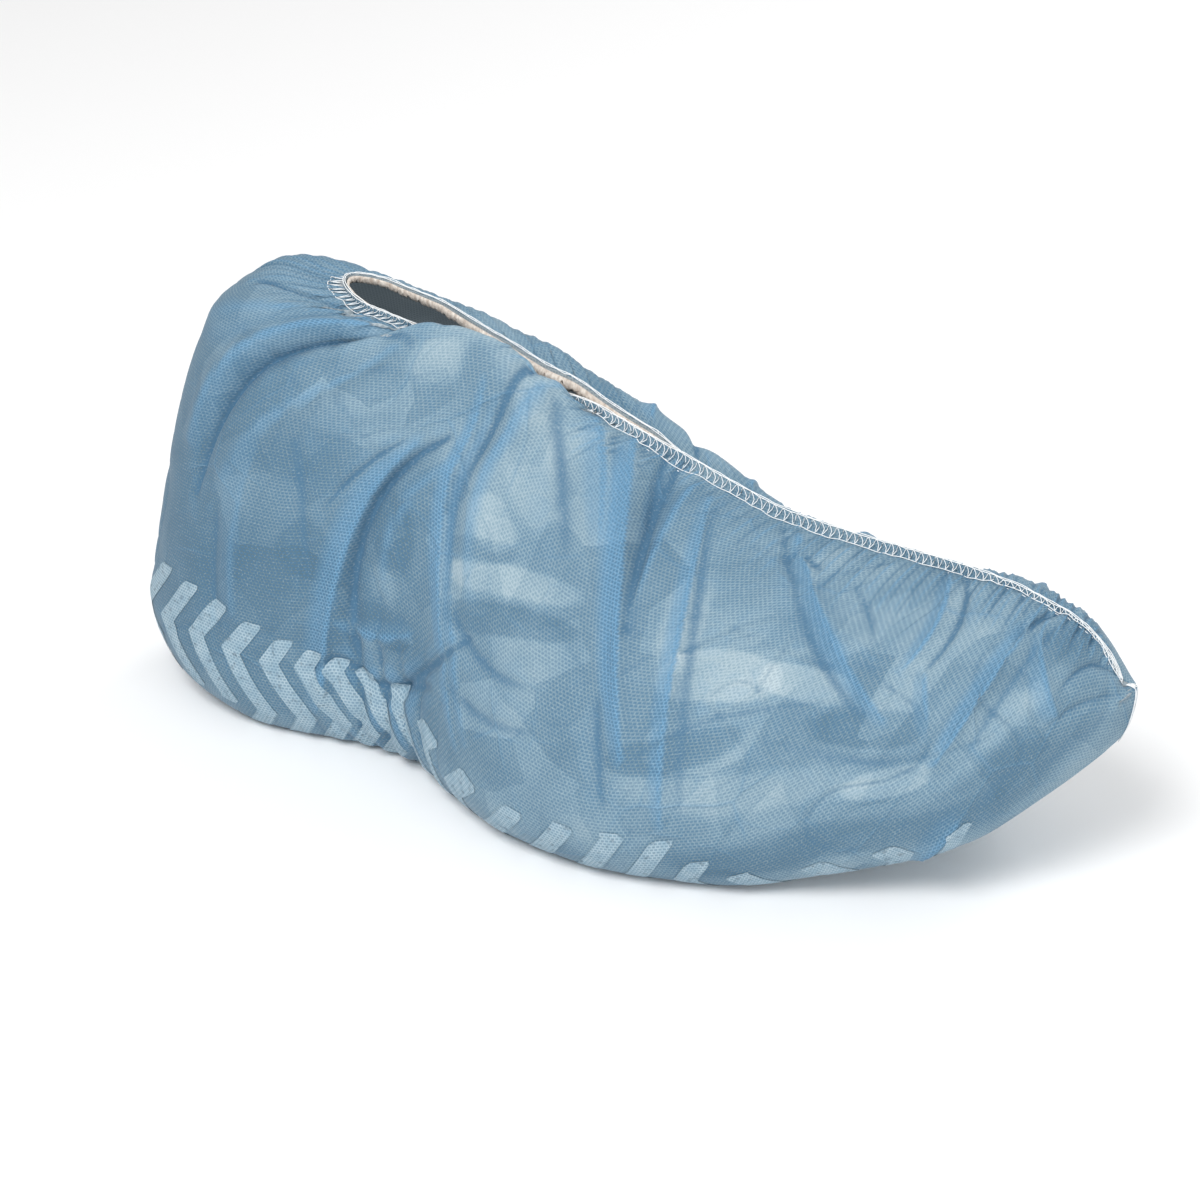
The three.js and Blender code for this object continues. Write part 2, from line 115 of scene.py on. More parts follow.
# The opening's edge: its height, its distance from the middle on each side, how square the shoulders
# below it are (2 is round), how far they puff up, how far the edge dips, and how high its hem stands.
UPPER = table(
    "x edge near_slit far_slit near_square far_square near_puff far_puff near_drop far_drop hem",
    [
        (76, 148, 9, 8, 5.0, 4.8, 2, 3, 0, 0, 1.8),
        (90, 144, 10, 9, 4.0, 3.8, 1, 2, 0, 0, 2.0),
        (104, 141, 10, 9, 3.4, 3.0, 1, 2, 0, 0, 2.0),
        (116, 138, 8, 7, 3.0, 2.8, 8, 4, 2, 0.5, 2.2),
        (128, 135, 5.5, 5, 2.8, 2.7, 18, 6, 5, 1, 2.5),
        (142, 130, 3.6, 3.4, 2.6, 2.5, 21, 8, 6, 1, 2.8),
        (154, 126, 2.8, 2.8, 2.4, 2.3, 13, 9, 3, 0.5, 3.0),
        (166, 120, 2.4, 2.6, 2.2, 2.2, 3, 9, 0, 0.5, 3.1),
        (178, 115, 2.2, 2.4, 2.0, 2.1, 0, 9, 0, 0.5, 3.2),
        (192, 110, 2.0, 2.2, 1.8, 2.0, 0, 11, 0, 3.5, 3.2),
        (230, 98, 2.0, 2.0, 1.7, 1.8, 0, 5, 0, 6, 3.2),
        (280, 93.4, 1.8, 1.8, 1.7, 1.8, 0, 3, 0, 5, 2.9),
        (295, 92.4, 1.8, 1.8, 1.8, 2.1, 0, 3, 0, 5, 1.6),
        (305, 89.5, 1.6, 1.6, 1.9, 2.2, 0, 3, 0, 4.5, 1.4),
        (312, 87, 1.4, 1.4, 1.9, 2.2, 0, 3, 0, 4, 1.2),
        (318, 83.5, 1.0, 1.0, 1.8, 2.0, 0, 2, 0, 2, 1.2),
        (322, 80, 0.8, 0.8, 1.7, 1.8, 0, 1, 0, 1, 1.2),
        (325.5, 75.6, 0.8, 0.8, 1.5, 1.6, 0, 0.5, 0, 0.5, 1.2),
        (328.5, 70.5, 0.8, 0.8, 1.3, 1.3, 0, 0, 0, 0, 1.2),
        (330, 67.5, 0.8, 0.8, 1.1, 1.1, 0, 0, 0, 0, 1.2),
    ],
)

# Folds of the slack cloth: three points that draw each (x, and the share of the way up from the widest
# line to the opening's edge), half width, height (negative for a groove), how its section runs (2 is
# round, 1 is pointed as a crease), and its tint: above 0 it is the stronger blue of the flap of doubled
# cloth beside it, and below 0 the shade in it.
FOLD_NAMES = "x1 x2 x3 up1 up2 up3 width height section tint".split()
NEAR_FOLDS = [
    # heel
    (3, 8, 20, 0.82, 0.96, 0.99, 1.9, -3.0, 1.1, -1.2),
    (1, 12, 26, 0.66, 0.80, 0.93, 6, 2.2, 2, 0.2),
    (26, 26, 56, 0.36, 0.84, 0.92, 3.2, -5.8, 1.2, -1.3),
    (18, 20, 48, 0.46, 0.88, 0.97, 5.5, 3.2, 2, 0.4),
    (37, 42, 62, 0.36, 0.62, 0.78, 7, 2.8, 2, 0.0),
    (30, 44, 58, 0.93, 0.96, 0.92, 2.4, -1.6, 1.3, -0.5),
    (22, 34, 44, 0.97, 0.93, 0.95, 2.0, 1.2, 1.2, 0.3),
    (38, 36, 42, 0.40, 0.24, 0.10, 4, -1.8, 1.5, -0.3),
    (47, 45, 50, 0.52, 0.30, 0.12, 5, 1.8, 1.6, 0.3),
    (56, 66, 76, 0.56, 0.44, 0.24, 4, -1.6, 1.4, -0.3),
    # waist
    (98, 86, 95, 0.64, 0.40, 0.10, 3.0, -4.6, 1.1, -1.2),
    (87, 82, 76, 0.58, 0.50, 0.40, 1.8, -1.6, 1.1, -0.8),
    (60, 66, 74, 0.91, 0.88, 0.84, 1.6, -1.4, 1.1, -0.6),
    (50, 58, 70, 0.86, 0.84, 0.78, 1.6, -1.2, 1.1, -0.6),
    (91, 86, 81, 0.58, 0.25, -0.15, 3.6, 2.8, 1.4, 0.8),
    (108, 97, 103, 0.66, 0.46, 0.30, 6, 2.4, 1.6, 0.0),
    (97, 115, 141, 0.78, 0.52, 0.08, 1.8, 1.5, 1.1, 0.8),
    (103, 120, 145, 0.78, 0.52, 0.10, 1.6, 1.2, 1.1, 0.6),
    (100, 104, 125, 0.98, 0.74, 0.42, 3.6, -3.2, 1.4, -0.6),
    (107, 110, 132, 0.94, 0.74, 0.44, 6, 2.6, 1.8, 0.1),
    (119, 138, 157, 0.97, 0.90, 0.70, 2.6, 2.0, 1.2, 0.5),
    (114, 132, 150, 0.90, 0.82, 0.64, 5, -2.2, 1.5, -0.4),
    (126, 140, 160, 0.40, 0.28, 0.30, 4, -1.6, 1.3, -0.5),
    (132, 148, 168, 0.22, 0.16, 0.20, 4, -1.2, 1.3, -0.4),
    # instep
    (133, 174, 198, 0.98, 0.70, 0.20, 2.8, 4.8, 1.1, 1.0),
    (152, 166, 182, 0.98, 0.80, 0.52, 4.6, -5.5, 1.3, -1.0),
    (163, 174, 181, 0.95, 0.72, 0.54, 2.6, 2.4, 1.2, 0.5),
    (145, 152, 166, 1.00, 0.92, 0.78, 2.6, -2.2, 1.2, -0.6),
    (171, 204, 214, 0.94, 0.60, 0.02, 1.9, 2.0, 1.1, 0.7),
    (176, 209, 219, 0.90, 0.58, 0.06, 4.5, -1.8, 1.5, -0.2),
    (184, 190, 196, 0.34, 0.22, 0.06, 3.4, -1.8, 1.3, -0.5),
    # forefoot and toe
    (199, 236, 264, 0.96, 0.66, 0.36, 3.8, -2.2, 1.3, -0.25),
    (205, 242, 270, 0.96, 0.68, 0.36, 2.0, 1.9, 1.1, 0.7),
    (216, 240, 258, 0.80, 0.66, 0.58, 4, 1.8, 1.8, 0.2),
    (209, 216, 224, 0.92, 0.88, 0.86, 2, -1.6, 1.2, -0.6),
    (238, 250, 256, 0.84, 0.76, 0.66, 3, -1.0, 1.3, -0.2),
    (272, 286, 276, 0.98, 0.76, 0.54, 3.0, -1.5, 1.2, -0.3),
    (266, 278, 270, 0.96, 0.76, 0.56, 2.0, 1.6, 1.2, 0.6),
    (276, 281, 284, 0.56, 0.44, 0.28, 1.8, 1.2, 1.1, 0.4),
    (302, 300, 288, 0.86, 0.50, 0.16, 2.2, 2.8, 1.1, 0.8),
    (309, 306, 296, 0.82, 0.50, 0.14, 4.6, -1.9, 1.5, -0.15),
    (309, 299, 300, 1.00, 0.84, 0.56, 2.2, -2.0, 1.2, -0.8),
    (307, 313, 318, 0.78, 0.48, 0.18, 1.8, 1.5, 1.1, 0.5),
    (331, 323, 318, 0.92, 0.68, 0.44, 2.4, -1.9, 1.2, -0.6),
    (333, 325, 317, 0.24, 0.30, 0.16, 2.0, -1.4, 1.2, -0.5),
    (296, 288, 282, -0.30, -0.55, -0.85, 2.4, 2.2, 1.1, 0.4),
    (236, 262, 290, 0.30, 0.24, 0.10, 5, -1.4, 1.6, -0.2),
    (200, 216, 258, 0.18, 0.40, 0.43, 1.8, -0.4, 1.5, -0.5),
    (262, 282, 302, 0.22, 0.17, 0.22, 2.0, -0.4, 1.5, -0.4),
    # crumpled cloth over the arch
    (136, 120, 106, 0.34, 0.14, 0.02, 2.4, -3.0, 1.2, -0.9),
    (126, 108, 96, 0.16, 0.02, 0.06, 2.2, -2.6, 1.2, -0.9),
    (100, 88, 78, 0.04, 0.12, 0.03, 2.0, -2.0, 1.2, -0.7),
    (116, 102, 88, 0.24, 0.14, 0.16, 2.2, 1.6, 1.2, 0.4),
]
FAR_FOLDS = [
    (10, 20, 34, 0.80, 0.55, 0.35, 6, -3.0, 1.5, -0.2),
    (20, 34, 50, 0.86, 0.80, 0.86, 4, -2.4, 1.3, -0.2),
    (84, 88, 98, 0.84, 0.45, 0.10, 5, -3.4, 1.3, -0.4),
    (92, 98, 106, 0.80, 0.50, 0.14, 4, 2.4, 1.3, 0.7),
    (50, 60, 62, 0.70, 0.45, 0.20, 6, -1.8, 1.6, -0.1),
    (66, 72, 70, 0.66, 0.40, 0.16, 2, 1.5, 1.1, 0.6),
    (112, 122, 140, 0.86, 0.60, 0.30, 5, -2.6, 1.4, -0.2),
    (138, 158, 166, 0.93, 0.60, 0.18, 3.4, 3.6, 1.1, 0.9),
    (156, 176, 188, 0.94, 0.62, 0.28, 5, -4.4, 1.4, -0.4),
    (180, 200, 214, 0.92, 0.60, 0.20, 2.2, 2.2, 1.1, 0.6),
    (212, 238, 250, 0.94, 0.62, 0.25, 4, -3.0, 1.3, -0.3),
    (224, 246, 258, 0.92, 0.62, 0.25, 2, 1.8, 1.1, 0.6),
    (262, 266, 262, 0.80, 0.62, 0.36, 3, 1.6, 1.3, 0.5),
    (298, 292, 282, 0.78, 0.52, 0.10, 3, 2.2, 1.3, 0.8),
    (308, 302, 296, 0.76, 0.50, 0.12, 5, -2.0, 1.5, -0.2),
    (124, 110, 100, 0.22, 0.06, 0.02, 2.4, -2.6, 1.2, -0.4),
    (110, 96, 84, 0.12, 0.16, 0.06, 2.2, -2.0, 1.2, -0.3),
]

# Where the cloth looks light or dark. Most patches are the shoe inside showing through the thin cloth; the
# large soft dark ones from the heel to the arch are painted shade. Each gives the patch's middle (x, and
# share of the way up), half length, half height, tilt in degrees, tone, about -1 for dark and 1 for pale,
# and its soft edge, as a share of its size.
PATCH_NAMES = "x up length height tilt tone soft".split()
NEAR_PATCHES = [
    (27, 0.74, 20, 6, 30, 0.55, 0.7),
    (42, 0.90, 18, 4, 5, 0.45, 0.7),
    (79, 0.76, 9, 8, 0, 0.85, 0.6),
    (94, 0.88, 24, 10, 0, 0.65, 0.7),
    (126, 0.76, 18, 10, -42, 0.5, 0.3),
    (127, 0.60, 9, 5, -35, 0.6, 0.25),
    (143, 0.51, 20, 5, 18, 0.8, 0.3),
    (101, 0.29, 5, 6, 0, 0.6, 0.7),
    (41, 0.32, 6, 24, -6, 0.35, 0.7),
    (107, 0.12, 9, 8, 0, 0.45, 0.7),
    (58, 0.20, 16, 12, 10, 0.2, 0.7),
    (196, 0.60, 7, 16, 12, 0.6, 0.4),
    (216, 0.46, 20, 8, 4, 0.9, 0.18),
    (244, 0.48, 15, 6, -4, 0.95, 0.2),
    (274, 0.12, 12, 5, 8, 0.9, 0.3),
    (232, 0.13, 34, 6, 0, 0.55, 0.7),
    (306, 0.28, 11, 8, -18, 0.55, 0.7),
    (160, 0.38, 10, 9, 0, 0.35, 0.7),
    (292, 0.66, 14, 6, -8, 0.4, 0.7),
    (101, 0.42, 9, 11, 0, -0.7, 0.3),
    (105, 0.20, 10, 7, 8, -0.8, 0.25),
    (129, 0.53, 10, 4, 28, -0.6, 0.3),
    (147, 0.42, 22, 5, 16, -0.85, 0.3),
    (73, 0.30, 12, 7, -38, -0.6, 0.25),
    (55, 0.50, 16, 5, -30, -0.3, 0.7),
    (212, 0.24, 18, 6, 20, -0.75, 0.25),
    (266, 0.34, 18, 6, 0, -0.75, 0.3),
    (317, 0.80, 8, 8, -30, -0.6, 0.7),
    (262, 0.56, 10, 7, -30, -0.35, 0.7),
    (310, 0.02, 22, 10, 22, -0.65, 0.7),
    (262, -0.25, 50, 4, 0, -0.8, 0.7),
    (66, 0.96, 12, 4, 0, -0.3, 0.7),
    # painted shade: these three large soft dark patches darken the heel, the waist and the arch, which face
    # away from the light
    (20, 0.30, 40, 60, 0, -1.2, 1.5),
    (84, 0.28, 26, 42, 0, -0.8, 1.5),
    (112, 0.08, 26, 22, 0, -0.7, 1.4),
    (170, 0.84, 16, 14, -60, -0.6, 1.0),
    (258, 0.84, 40, 9, 0, 0.2, 0.8),
    (122, 0.88, 34, 12, 0, 0.35, 1.2),
    (186, 0.12, 12, 12, 0, -0.2, 0.7),
]
FAR_PATCHES = [
    # painted shade: the heel, which faces away from the light
    (20, 0.30, 40, 60, 0, -1.2, 1.5),
    (40, 0.60, 22, 10, 20, 0.5, 0.7),
    (100, 0.70, 20, 10, -20, 0.6, 0.7),
    (150, 0.45, 22, 8, 20, 0.7, 0.7),
    (210, 0.40, 26, 9, 0, 0.8, 0.7),
    (270, 0.20, 20, 7, 10, 0.6, 0.7),
    (70, 0.30, 16, 10, -30, -0.6, 0.7),
    (125, 0.30, 18, 7, 15, -0.7, 0.7),
    (180, 0.62, 14, 12, 0, -0.5, 0.7),
    (240, 0.68, 20, 8, -10, -0.5, 0.7),
    (290, 0.50, 14, 10, -20, -0.6, 0.7),
]


def by_name(names, near, far):
    """Each row with its side, as a dict."""
    sided = [(NEAR, row) for row in near] + [(FAR, row) for row in far]
    return [{"side": side, **dict(zip(names, row))} for side, row in sided]


# ---- Curves


def slopes(xs, ys):
    """Slopes that let a cubic through the values keep their ups and downs without overshoot."""
    steps = np.diff(ys) / np.diff(xs)
    before = np.concatenate([steps[:1], steps])
    after = np.concatenate([steps, steps[-1:]])
    total = np.where(before * after > 0, before + after, 1)
    return np.where(before * after > 0, 2 * before * after / total, 0)


def read(rows, name, at):
    """The named column of a table at these x, on a smooth curve."""
    xs, ys = rows["x"], rows[name]
    m = slopes(xs, ys)
    x = np.clip(at, xs[0], xs[-1])
    i = np.clip(np.searchsorted(xs, x, side="right") - 1, 0, len(xs) - 2)
    h = xs[i + 1] - xs[i]
    t = (x - xs[i]) / h
    return (
        ys[i] * (2 * t**3 - 3 * t**2 + 1)
        + m[i] * h * (t**3 - 2 * t**2 + t)
        + ys[i + 1] * (3 * t**2 - 2 * t**3)
        + m[i + 1] * h * (t**3 - t**2)
    )


def by_side(rows, name, x, side):
    """The near or the far column of this name, whichever side each x is on."""
    return np.where(side == NEAR, read(rows, "near_" + name, x), read(rows, "far_" + name, x))


def round_ends(x, start, start_round, end_round, end):
    """1 along the middle, falling to 0 in a round end at each side."""
    a = np.clip((start + start_round - x) / start_round, 0, 1)
    b = np.clip((x - (end - end_round)) / end_round, 0, 1)
    return np.sqrt(1 - a * a) * np.sqrt(1 - b * b)


# ---- The cloth as a grid of points, rows by columns
# A column is an angle: 0 at the heel's back, over the near side, pi at the toe, and back over the far
# side. A row's value is -2 at the sole's middle line, -1 at the sole's edge, 0 at the widest line and 1 at
# the opening, and a little more up the hem.

COLUMNS = 800
HALF = COLUMNS // 2  # the column at the toe
SOLE_ROWS = 6
CORNER_ROWS = 12
UPPER_ROWS = 100
HEM_ROWS = 4
HEM_HIGH = 0.04  # the rows' values rise this much over the hem
BELOW = 22  # millimetres of cloth from the widest line down to the sole's edge


def side_of(angle):
    return np.where(np.sin(angle) >= 0, NEAR, FAR)


def widest_line(angle):
    side = side_of(angle)
    x = LENGTH * (1 - np.cos(angle)) / 2
    return x, side * by_side(FOOT, "half", x, side) * round_ends(x, 0, HEEL_ROUND, TOE_ROUND, LENGTH)


def column_angles():
    """Angles spaced evenly along the widest line, the same on both sides, so that the halves meet."""
    turns = np.linspace(0, math.pi, 721)
    spans = []
    for side in (1, -1):
        x, y = widest_line(side * turns)
        spans.append(np.hypot(np.diff(x), np.diff(y)))
    lengths = np.concatenate([[0], np.cumsum((spans[0] + spans[1]) / 2)])
    near = np.interp(np.linspace(0, lengths[-1], HALF + 1), lengths, turns)
    return np.concatenate([near, 2 * math.pi - near[1:-1][::-1]])


ANGLES = column_angles()
SIDES = side_of(ANGLES)
WIDEST_X, WIDEST_Y = widest_line(ANGLES)


# ---- The smooth form


def opening_edge():
    x = OPENING_START + (OPENING_END - OPENING_START) * (1 - np.cos(ANGLES)) / 2
    ends = round_ends(x, OPENING_START, OPENING_HEEL_ROUND, OPENING_TOE_ROUND, OPENING_END)
    height = read(UPPER, "edge", x) - by_side(UPPER, "drop", x, SIDES)
    return x, SIDES * by_side(UPPER, "slit", x, SIDES) * ends, height


EDGE_X, EDGE_Y, EDGE_Z = opening_edge()


def sole_edge():
    """The sole's edge, and the place on the middle line that each of its points faces."""
    spine = np.clip(WIDEST_X, SPINE_START, SPINE_END)
    reach = np.hypot(WIDEST_X - spine, WIDEST_Y) + 1e-9
    keep = 1 - np.minimum(by_side(FOOT, "in", WIDEST_X, SIDES), reach * 0.6) / reach
    return spine, spine + (WIDEST_X - spine) * keep, WIDEST_Y * keep


SPINE, SOLE_X, SOLE_Y = sole_edge()


def sole_points(share):
    """Points on the sole, from its middle line at 0 to its edge at 1."""
    x = SPINE + (SOLE_X - SPINE) * share
    return np.stack([x, SOLE_Y * share, read(FOOT, "sole", x)], -1)


def corner_points(share):
    """Points on the round corner, from the sole's edge at 0 to the widest line at 1."""
    low = read(FOOT, "sole", SOLE_X)
    out = np.sin(share * math.pi / 2)
    rise = 1 - np.cos(share * math.pi / 2)
    z = low + (read(FOOT, "belly", WIDEST_X) - low) * rise
    return np.stack([SOLE_X + (WIDEST_X - SOLE_X) * out, SOLE_Y + (WIDEST_Y - SOLE_Y) * out, z], -1)


# The cloth puffs up most a little below the edge, and not at the edge itself.
PUFF_AT = np.where(SIDES == NEAR, 0.90, 0.88)
PUFF_SPREAD = 0.12
PUFF_END = 0.93


def upper_points(turn):
    """Points on the upper, from the widest line where turn is 0 to the opening's edge where it is 1."""
    square = by_side(UPPER, "square", EDGE_X, SIDES)
    rise = np.sin(turn * math.pi / 2) ** (2 / square)
    out = np.maximum(np.cos(turn * math.pi / 2), 0) ** (2 / square)
    belly = read(FOOT, "belly", WIDEST_X)
    lean = HEEL_LEAN * np.maximum(1 - WIDEST_X / LEAN_REACH, 0)
    puff = by_side(UPPER, "puff", EDGE_X, SIDES) * np.exp(-(((turn - PUFF_AT) / PUFF_SPREAD) ** 2))
    puff *= 1 - np.clip((turn - PUFF_END) / (1 - PUFF_END), 0, 1) ** 2
    x = EDGE_X + (WIDEST_X - EDGE_X + lean * rise) * out
    y = EDGE_Y + (WIDEST_Y - EDGE_Y) * out
    return np.stack([x, y, belly + (EDGE_Z - belly) * rise + puff], -1)


def upper_lengths():
    """The turns of a dense set of points up the upper, and how far up each column's cloth they are."""
    steps = np.linspace(0, 1, 97)
    turns = steps**2 * (2 - steps)
    points = np.stack([upper_points(np.full(COLUMNS, turn)) for turn in turns])
    spans = np.linalg.norm(np.diff(points, axis=0), axis=-1)
    return turns, np.vstack([np.zeros(COLUMNS), np.cumsum(spans, axis=0)])


TURNS, UPPER_LENGTHS = upper_lengths()


def smooth_grid():
    """The rows' values and their points."""
    rows = [(share - 2, sole_points(share)) for share in np.linspace(0, 1, SOLE_ROWS, endpoint=False)]
    rows += [(share - 1, corner_points(share)) for share in np.linspace(0, 1, CORNER_ROWS, endpoint=False)]
    for share in np.linspace(0, 1, UPPER_ROWS):
        turn = [np.interp(share * lengths[-1], lengths, TURNS) for lengths in UPPER_LENGTHS.T]
        rows.append((share, upper_points(np.array(turn))))
    edge = rows[-1][1]
    hem = np.zeros_like(edge)
    hem[:, 2] = read(UPPER, "hem", EDGE_X)
    for share in np.linspace(0, 1, HEM_ROWS + 1)[1:]:
        rows.append((1 + HEM_HIGH * share, edge + hem * share))
    values, points = zip(*rows)
    return np.array(values), np.stack(points)


def grid_normals(points):
    across = np.roll(points, -1, axis=1) - np.roll(points, 1, axis=1)
    normals = np.cross(across, np.gradient(points, axis=0))
    normals /= np.linalg.norm(normals, axis=-1, keepdims=True) + 1e-12
    normals[0] = (0, 0, -1)
    return normals


def rises(values):
    """How far up the cloth from the widest line each value lies in each column, in millimetres."""
    values = np.asarray(values, float).reshape(-1, 1)
    return np.where(values > 0, values * UPPER_LENGTHS[-1], values * BELOW)


# ---- What lifts the cloth off the smooth form, and what tints it
# Each function takes the rows' values.


def fold_line(fold):
    """Points along a fold: their x, and their shares of the way up."""
    t = np.linspace(0, 1, 13)
    weights = np.stack([(1 - t) ** 2, 2 * t * (1 - t), t**2]).T
    return weights @ [fold["x1"], fold["x2"], fold["x3"]], weights @ [fold["up1"], fold["up2"], fold["up3"]]


def reach_to(fold, values):
    """How far each grid point lies from a fold's line, how far along the line that is, from 0 to 1, and on
    which side of it, 1 to the right of a line that is drawn downwards."""
    fold_x, fold_up = fold_line(fold)
    at = rises(values)
    heights = rises(fold_up)
    reach = np.full(at.shape, np.inf)
    along = np.zeros(at.shape)
    hand = np.ones(at.shape)
    for i in range(len(fold_x) - 1):
        from_x = WIDEST_X - fold_x[i]
        from_up = at - heights[i]
        span_x = fold_x[i + 1] - fold_x[i]
        span_up = heights[i + 1] - heights[i]
        t = np.clip((from_x * span_x + from_up * span_up) / (span_x**2 + span_up**2 + 1e-9), 0, 1)
        distance = np.hypot(from_x - span_x * t, from_up - span_up * t)
        along = np.where(distance < reach, (i + t) / (len(fold_x) - 1), along)
        hand = np.where(distance < reach, np.sign(span_x * from_up - span_up * from_x), hand)
        reach = np.minimum(reach, distance)
    return reach, along, hand


SIDES_BLEND = 12  # millimetres across the heel's back and the toe, where one side's folds end
FLAP_WIDTH = 2.8  # the band where the cloth lies double beside a fold, in half widths of the fold
FLAP_EDGE = 0.7  # millimetres over which that band begins


def share_of(side):
    """1 on this side of the cover, 0 on the other."""
    return np.clip(0.5 + side * WIDEST_Y / SIDES_BLEND, 0, 1)


def fold_maps(values):
    """How far the folds lift each point of the grid off the smooth form, and how they tint it."""
    heights = np.zeros((len(values), COLUMNS))
    tints = np.zeros_like(heights)
    for fold in by_name(FOLD_NAMES, NEAR_FOLDS, FAR_FOLDS):
        reach, along, hand = reach_to(fold, values)
        taper = np.sin(math.pi * (0.06 + 0.88 * along)) ** 0.7
        width = fold["width"] * (0.5 + 0.5 * taper)
        here = share_of(fold["side"])
        heights += here * fold["height"] * taper * np.exp(-((reach / width) ** fold["section"]))
        if fold["tint"] > 0:
            across = -reach * hand
            flap = FLAP_WIDTH * fold["width"] * (0.4 + 0.6 * taper)
            inside = np.clip(across / FLAP_EDGE + 1, 0, 1) * np.clip((flap - across) / (0.5 * flap), 0, 1)
            tints += here * fold["tint"] * inside * np.minimum(taper * 1.5, 1)
        else:
            tints += here * fold["tint"] * taper * np.exp(-((reach / (fold["width"] * 0.5)) ** 1.5))
    return heights, tints


def patch_tones(values):
    """The tone of each point of the grid."""
    at = rises(values)
    wander_x = WIDEST_X + 1.6 * np.sin(at / 9 + WIDEST_X / 17)
    wander_up = at + 1.4 * np.sin(WIDEST_X / 11 + at / 15)
    tones = np.zeros((len(values), COLUMNS))
    for patch in by_name(PATCH_NAMES, NEAR_PATCHES, FAR_PATCHES):
        tilt = math.radians(patch["tilt"])
        dx = wander_x - patch["x"]
        dy = wander_up - rises([patch["up"]])
        u = (dx * math.cos(tilt) + dy * math.sin(tilt)) / patch["length"]
        v = (dy * math.cos(tilt) - dx * math.sin(tilt)) / patch["height"]
        reach = (np.abs(u) ** 2.6 + np.abs(v) ** 2.6) ** (1 / 2.6)
        inside = np.clip((1 - reach) / patch["soft"] + 0.5, 0, 1)
        tones += share_of(patch["side"]) * patch["tone"] * inside * inside * (3 - 2 * inside)
    return tones


# Under the arch the cloth is bunched up between the heel and the ball of the foot.
BUNCH_X = 106
BUNCH_REACH = 24
BUNCH_PITCH = 9.5
BUNCH_HEIGHT = 2.6


def bunch_heights(values):
    wander = 1.6 * np.sin(values[:, None] * 7 + WIDEST_X / 9)
    lump = np.abs(np.sin(math.pi * (WIDEST_X + wander + 4 * values[:, None]) / BUNCH_PITCH))
    near_it = np.exp(-(((WIDEST_X - BUNCH_X) / BUNCH_REACH) ** 2))
    band = np.clip((values + 0.95) / 0.3, 0, 1) * np.clip((0.30 - values) / 0.34, 0, 1)
    return BUNCH_HEIGHT * (lump**0.7 - 0.6) * near_it * band[:, None]


# The seam that closes the toe stands out as a narrow ridge below the opening's end.
SEAM_HEIGHT = 0.7
SEAM_WIDTH = 1.8


def steps_round(x, y):
    """The distance from each column to the next."""
    return np.hypot(np.diff(x, append=x[0]), np.diff(y, append=y[0]))


def seam_heights(values):
    spacing = steps_round(WIDEST_X, WIDEST_Y).sum() / COLUMNS
    away = np.abs(np.arange(COLUMNS) - HALF) * spacing
    band = np.clip((values + 0.9) / 0.5, 0, 1) * np.clip((1.0 - values) / 0.05, 0, 1)
    return SEAM_HEIGHT * np.exp(-((away / SEAM_WIDTH) ** 1.4)) * band[:, None]


# Gathers that the elastic draws in: waves along the edge, the short ones dying away soonest.
GATHERS = table(
    "wave height phase",
    [(4.3, 0.3, 0.4), (7.1, 0.55, 2.1), (11.9, 0.85, 4.4), (19.7, 1.1, 1.3), (33.0, 1.2, 5.2)],
)
GATHER_DEPTH = 0.95  # wavelengths down from the edge
GATHER_START = 18  # they begin this far along from the opening's heel end


def gather_heights(values):
    along = np.cumsum(steps_round(EDGE_X, EDGE_Y))
    below = np.maximum(1 - values[:, None], 0) * UPPER_LENGTHS[-1]
    fade_in = np.clip((EDGE_X - OPENING_START) / GATHER_START, 0.25, 1)
    heights = np.zeros((len(values), COLUMNS))
    for wave, height, phase in zip(*GATHERS.values()):
        wobble = 0.9 * np.sin(below / wave * 0.35 + phase * 2.3) + 0.7 * np.sin(along / 37 + phase)
        swing = np.sin(2 * math.pi * along / wave + phase + wobble)
        strength = 0.6 + 0.4 * np.sin(along / 23 + phase * 3)
        heights += height * strength * swing * np.exp(-below / (wave * GATHER_DEPTH))
    return heights * fade_in * np.clip(values[:, None] * 4, 0, 1)


# Small crumples all over the slack cloth: soft swells, and thin creases where a noise crosses zero.
SWELLS = [(0.030, 0.9), (0.014, 0.45)]  # size in metres, height in millimetres
CREASES = [(0.034, 0.75, 0.055), (0.019, 0.42, 0.06), (0.010, 0.16, 0.10)]  # size, depth, sharpness


def noise_grid(points_mm, size):
    flat = points_mm.reshape(-1, 3) / (size * 1000)
    return np.array([noise.noise(Vector(place)) for place in flat]).reshape(points_mm.shape[:2])


def fade_below(values):
    return (np.clip((values + 0.8) / 0.8, 0, 1) * np.clip((1.05 - values) / 0.1, 0.3, 1))[:, None]


def swell_heights(points_mm, values):
    return sum(height * noise_grid(points_mm, size) for size, height in SWELLS) * fade_below(values)


def crease_heights(points_mm, values):
    heights = np.zeros(points_mm.shape[:2])
    for size, depth, sharpness in CREASES:
        crossing = noise_grid(points_mm + 50 * size * 1000, size)
        patchy = np.clip(0.5 + 1.6 * noise_grid(points_mm - 90 * size * 1000, size * 2.2), 0, 1)
        heights -= depth * patchy * np.exp(-np.abs(crossing) / sharpness)
    return heights * fade_below(values)


# ---- Slack
# The cloth was cut as long round its opening as round its widest line, and the elastic draws it in, so it
# buckles into gathers at the edge that run out into wrinkles lower down. It is settled on a coarse grid
# first and then on finer ones.

SLACK = table(
    "row share",
    [(-2, 0), (-0.9, 0.06), (0, 0.12), (0.3, 0.2), (0.6, 0.24), (0.8, 0.46), (1.05, 1.0)],
)
SLACK_UP = 1.004  # times the smooth form's lengths up the cloth
SETTLE_LEVELS = [(4, 240), (2, 200), (1, 90)]  # grid spacing, steps
SETTLE_PULL = 0.22
SETTLE_BEND = 0.05
SETTLE_HOLD = 0.004
SETTLE_MOMENTUM = 0.6
HEM_FREEDOM = 0.35  # the hem is stiff, so it moves less than the rest
MOST_IN = 3.5
MOST_OUT = 3.0


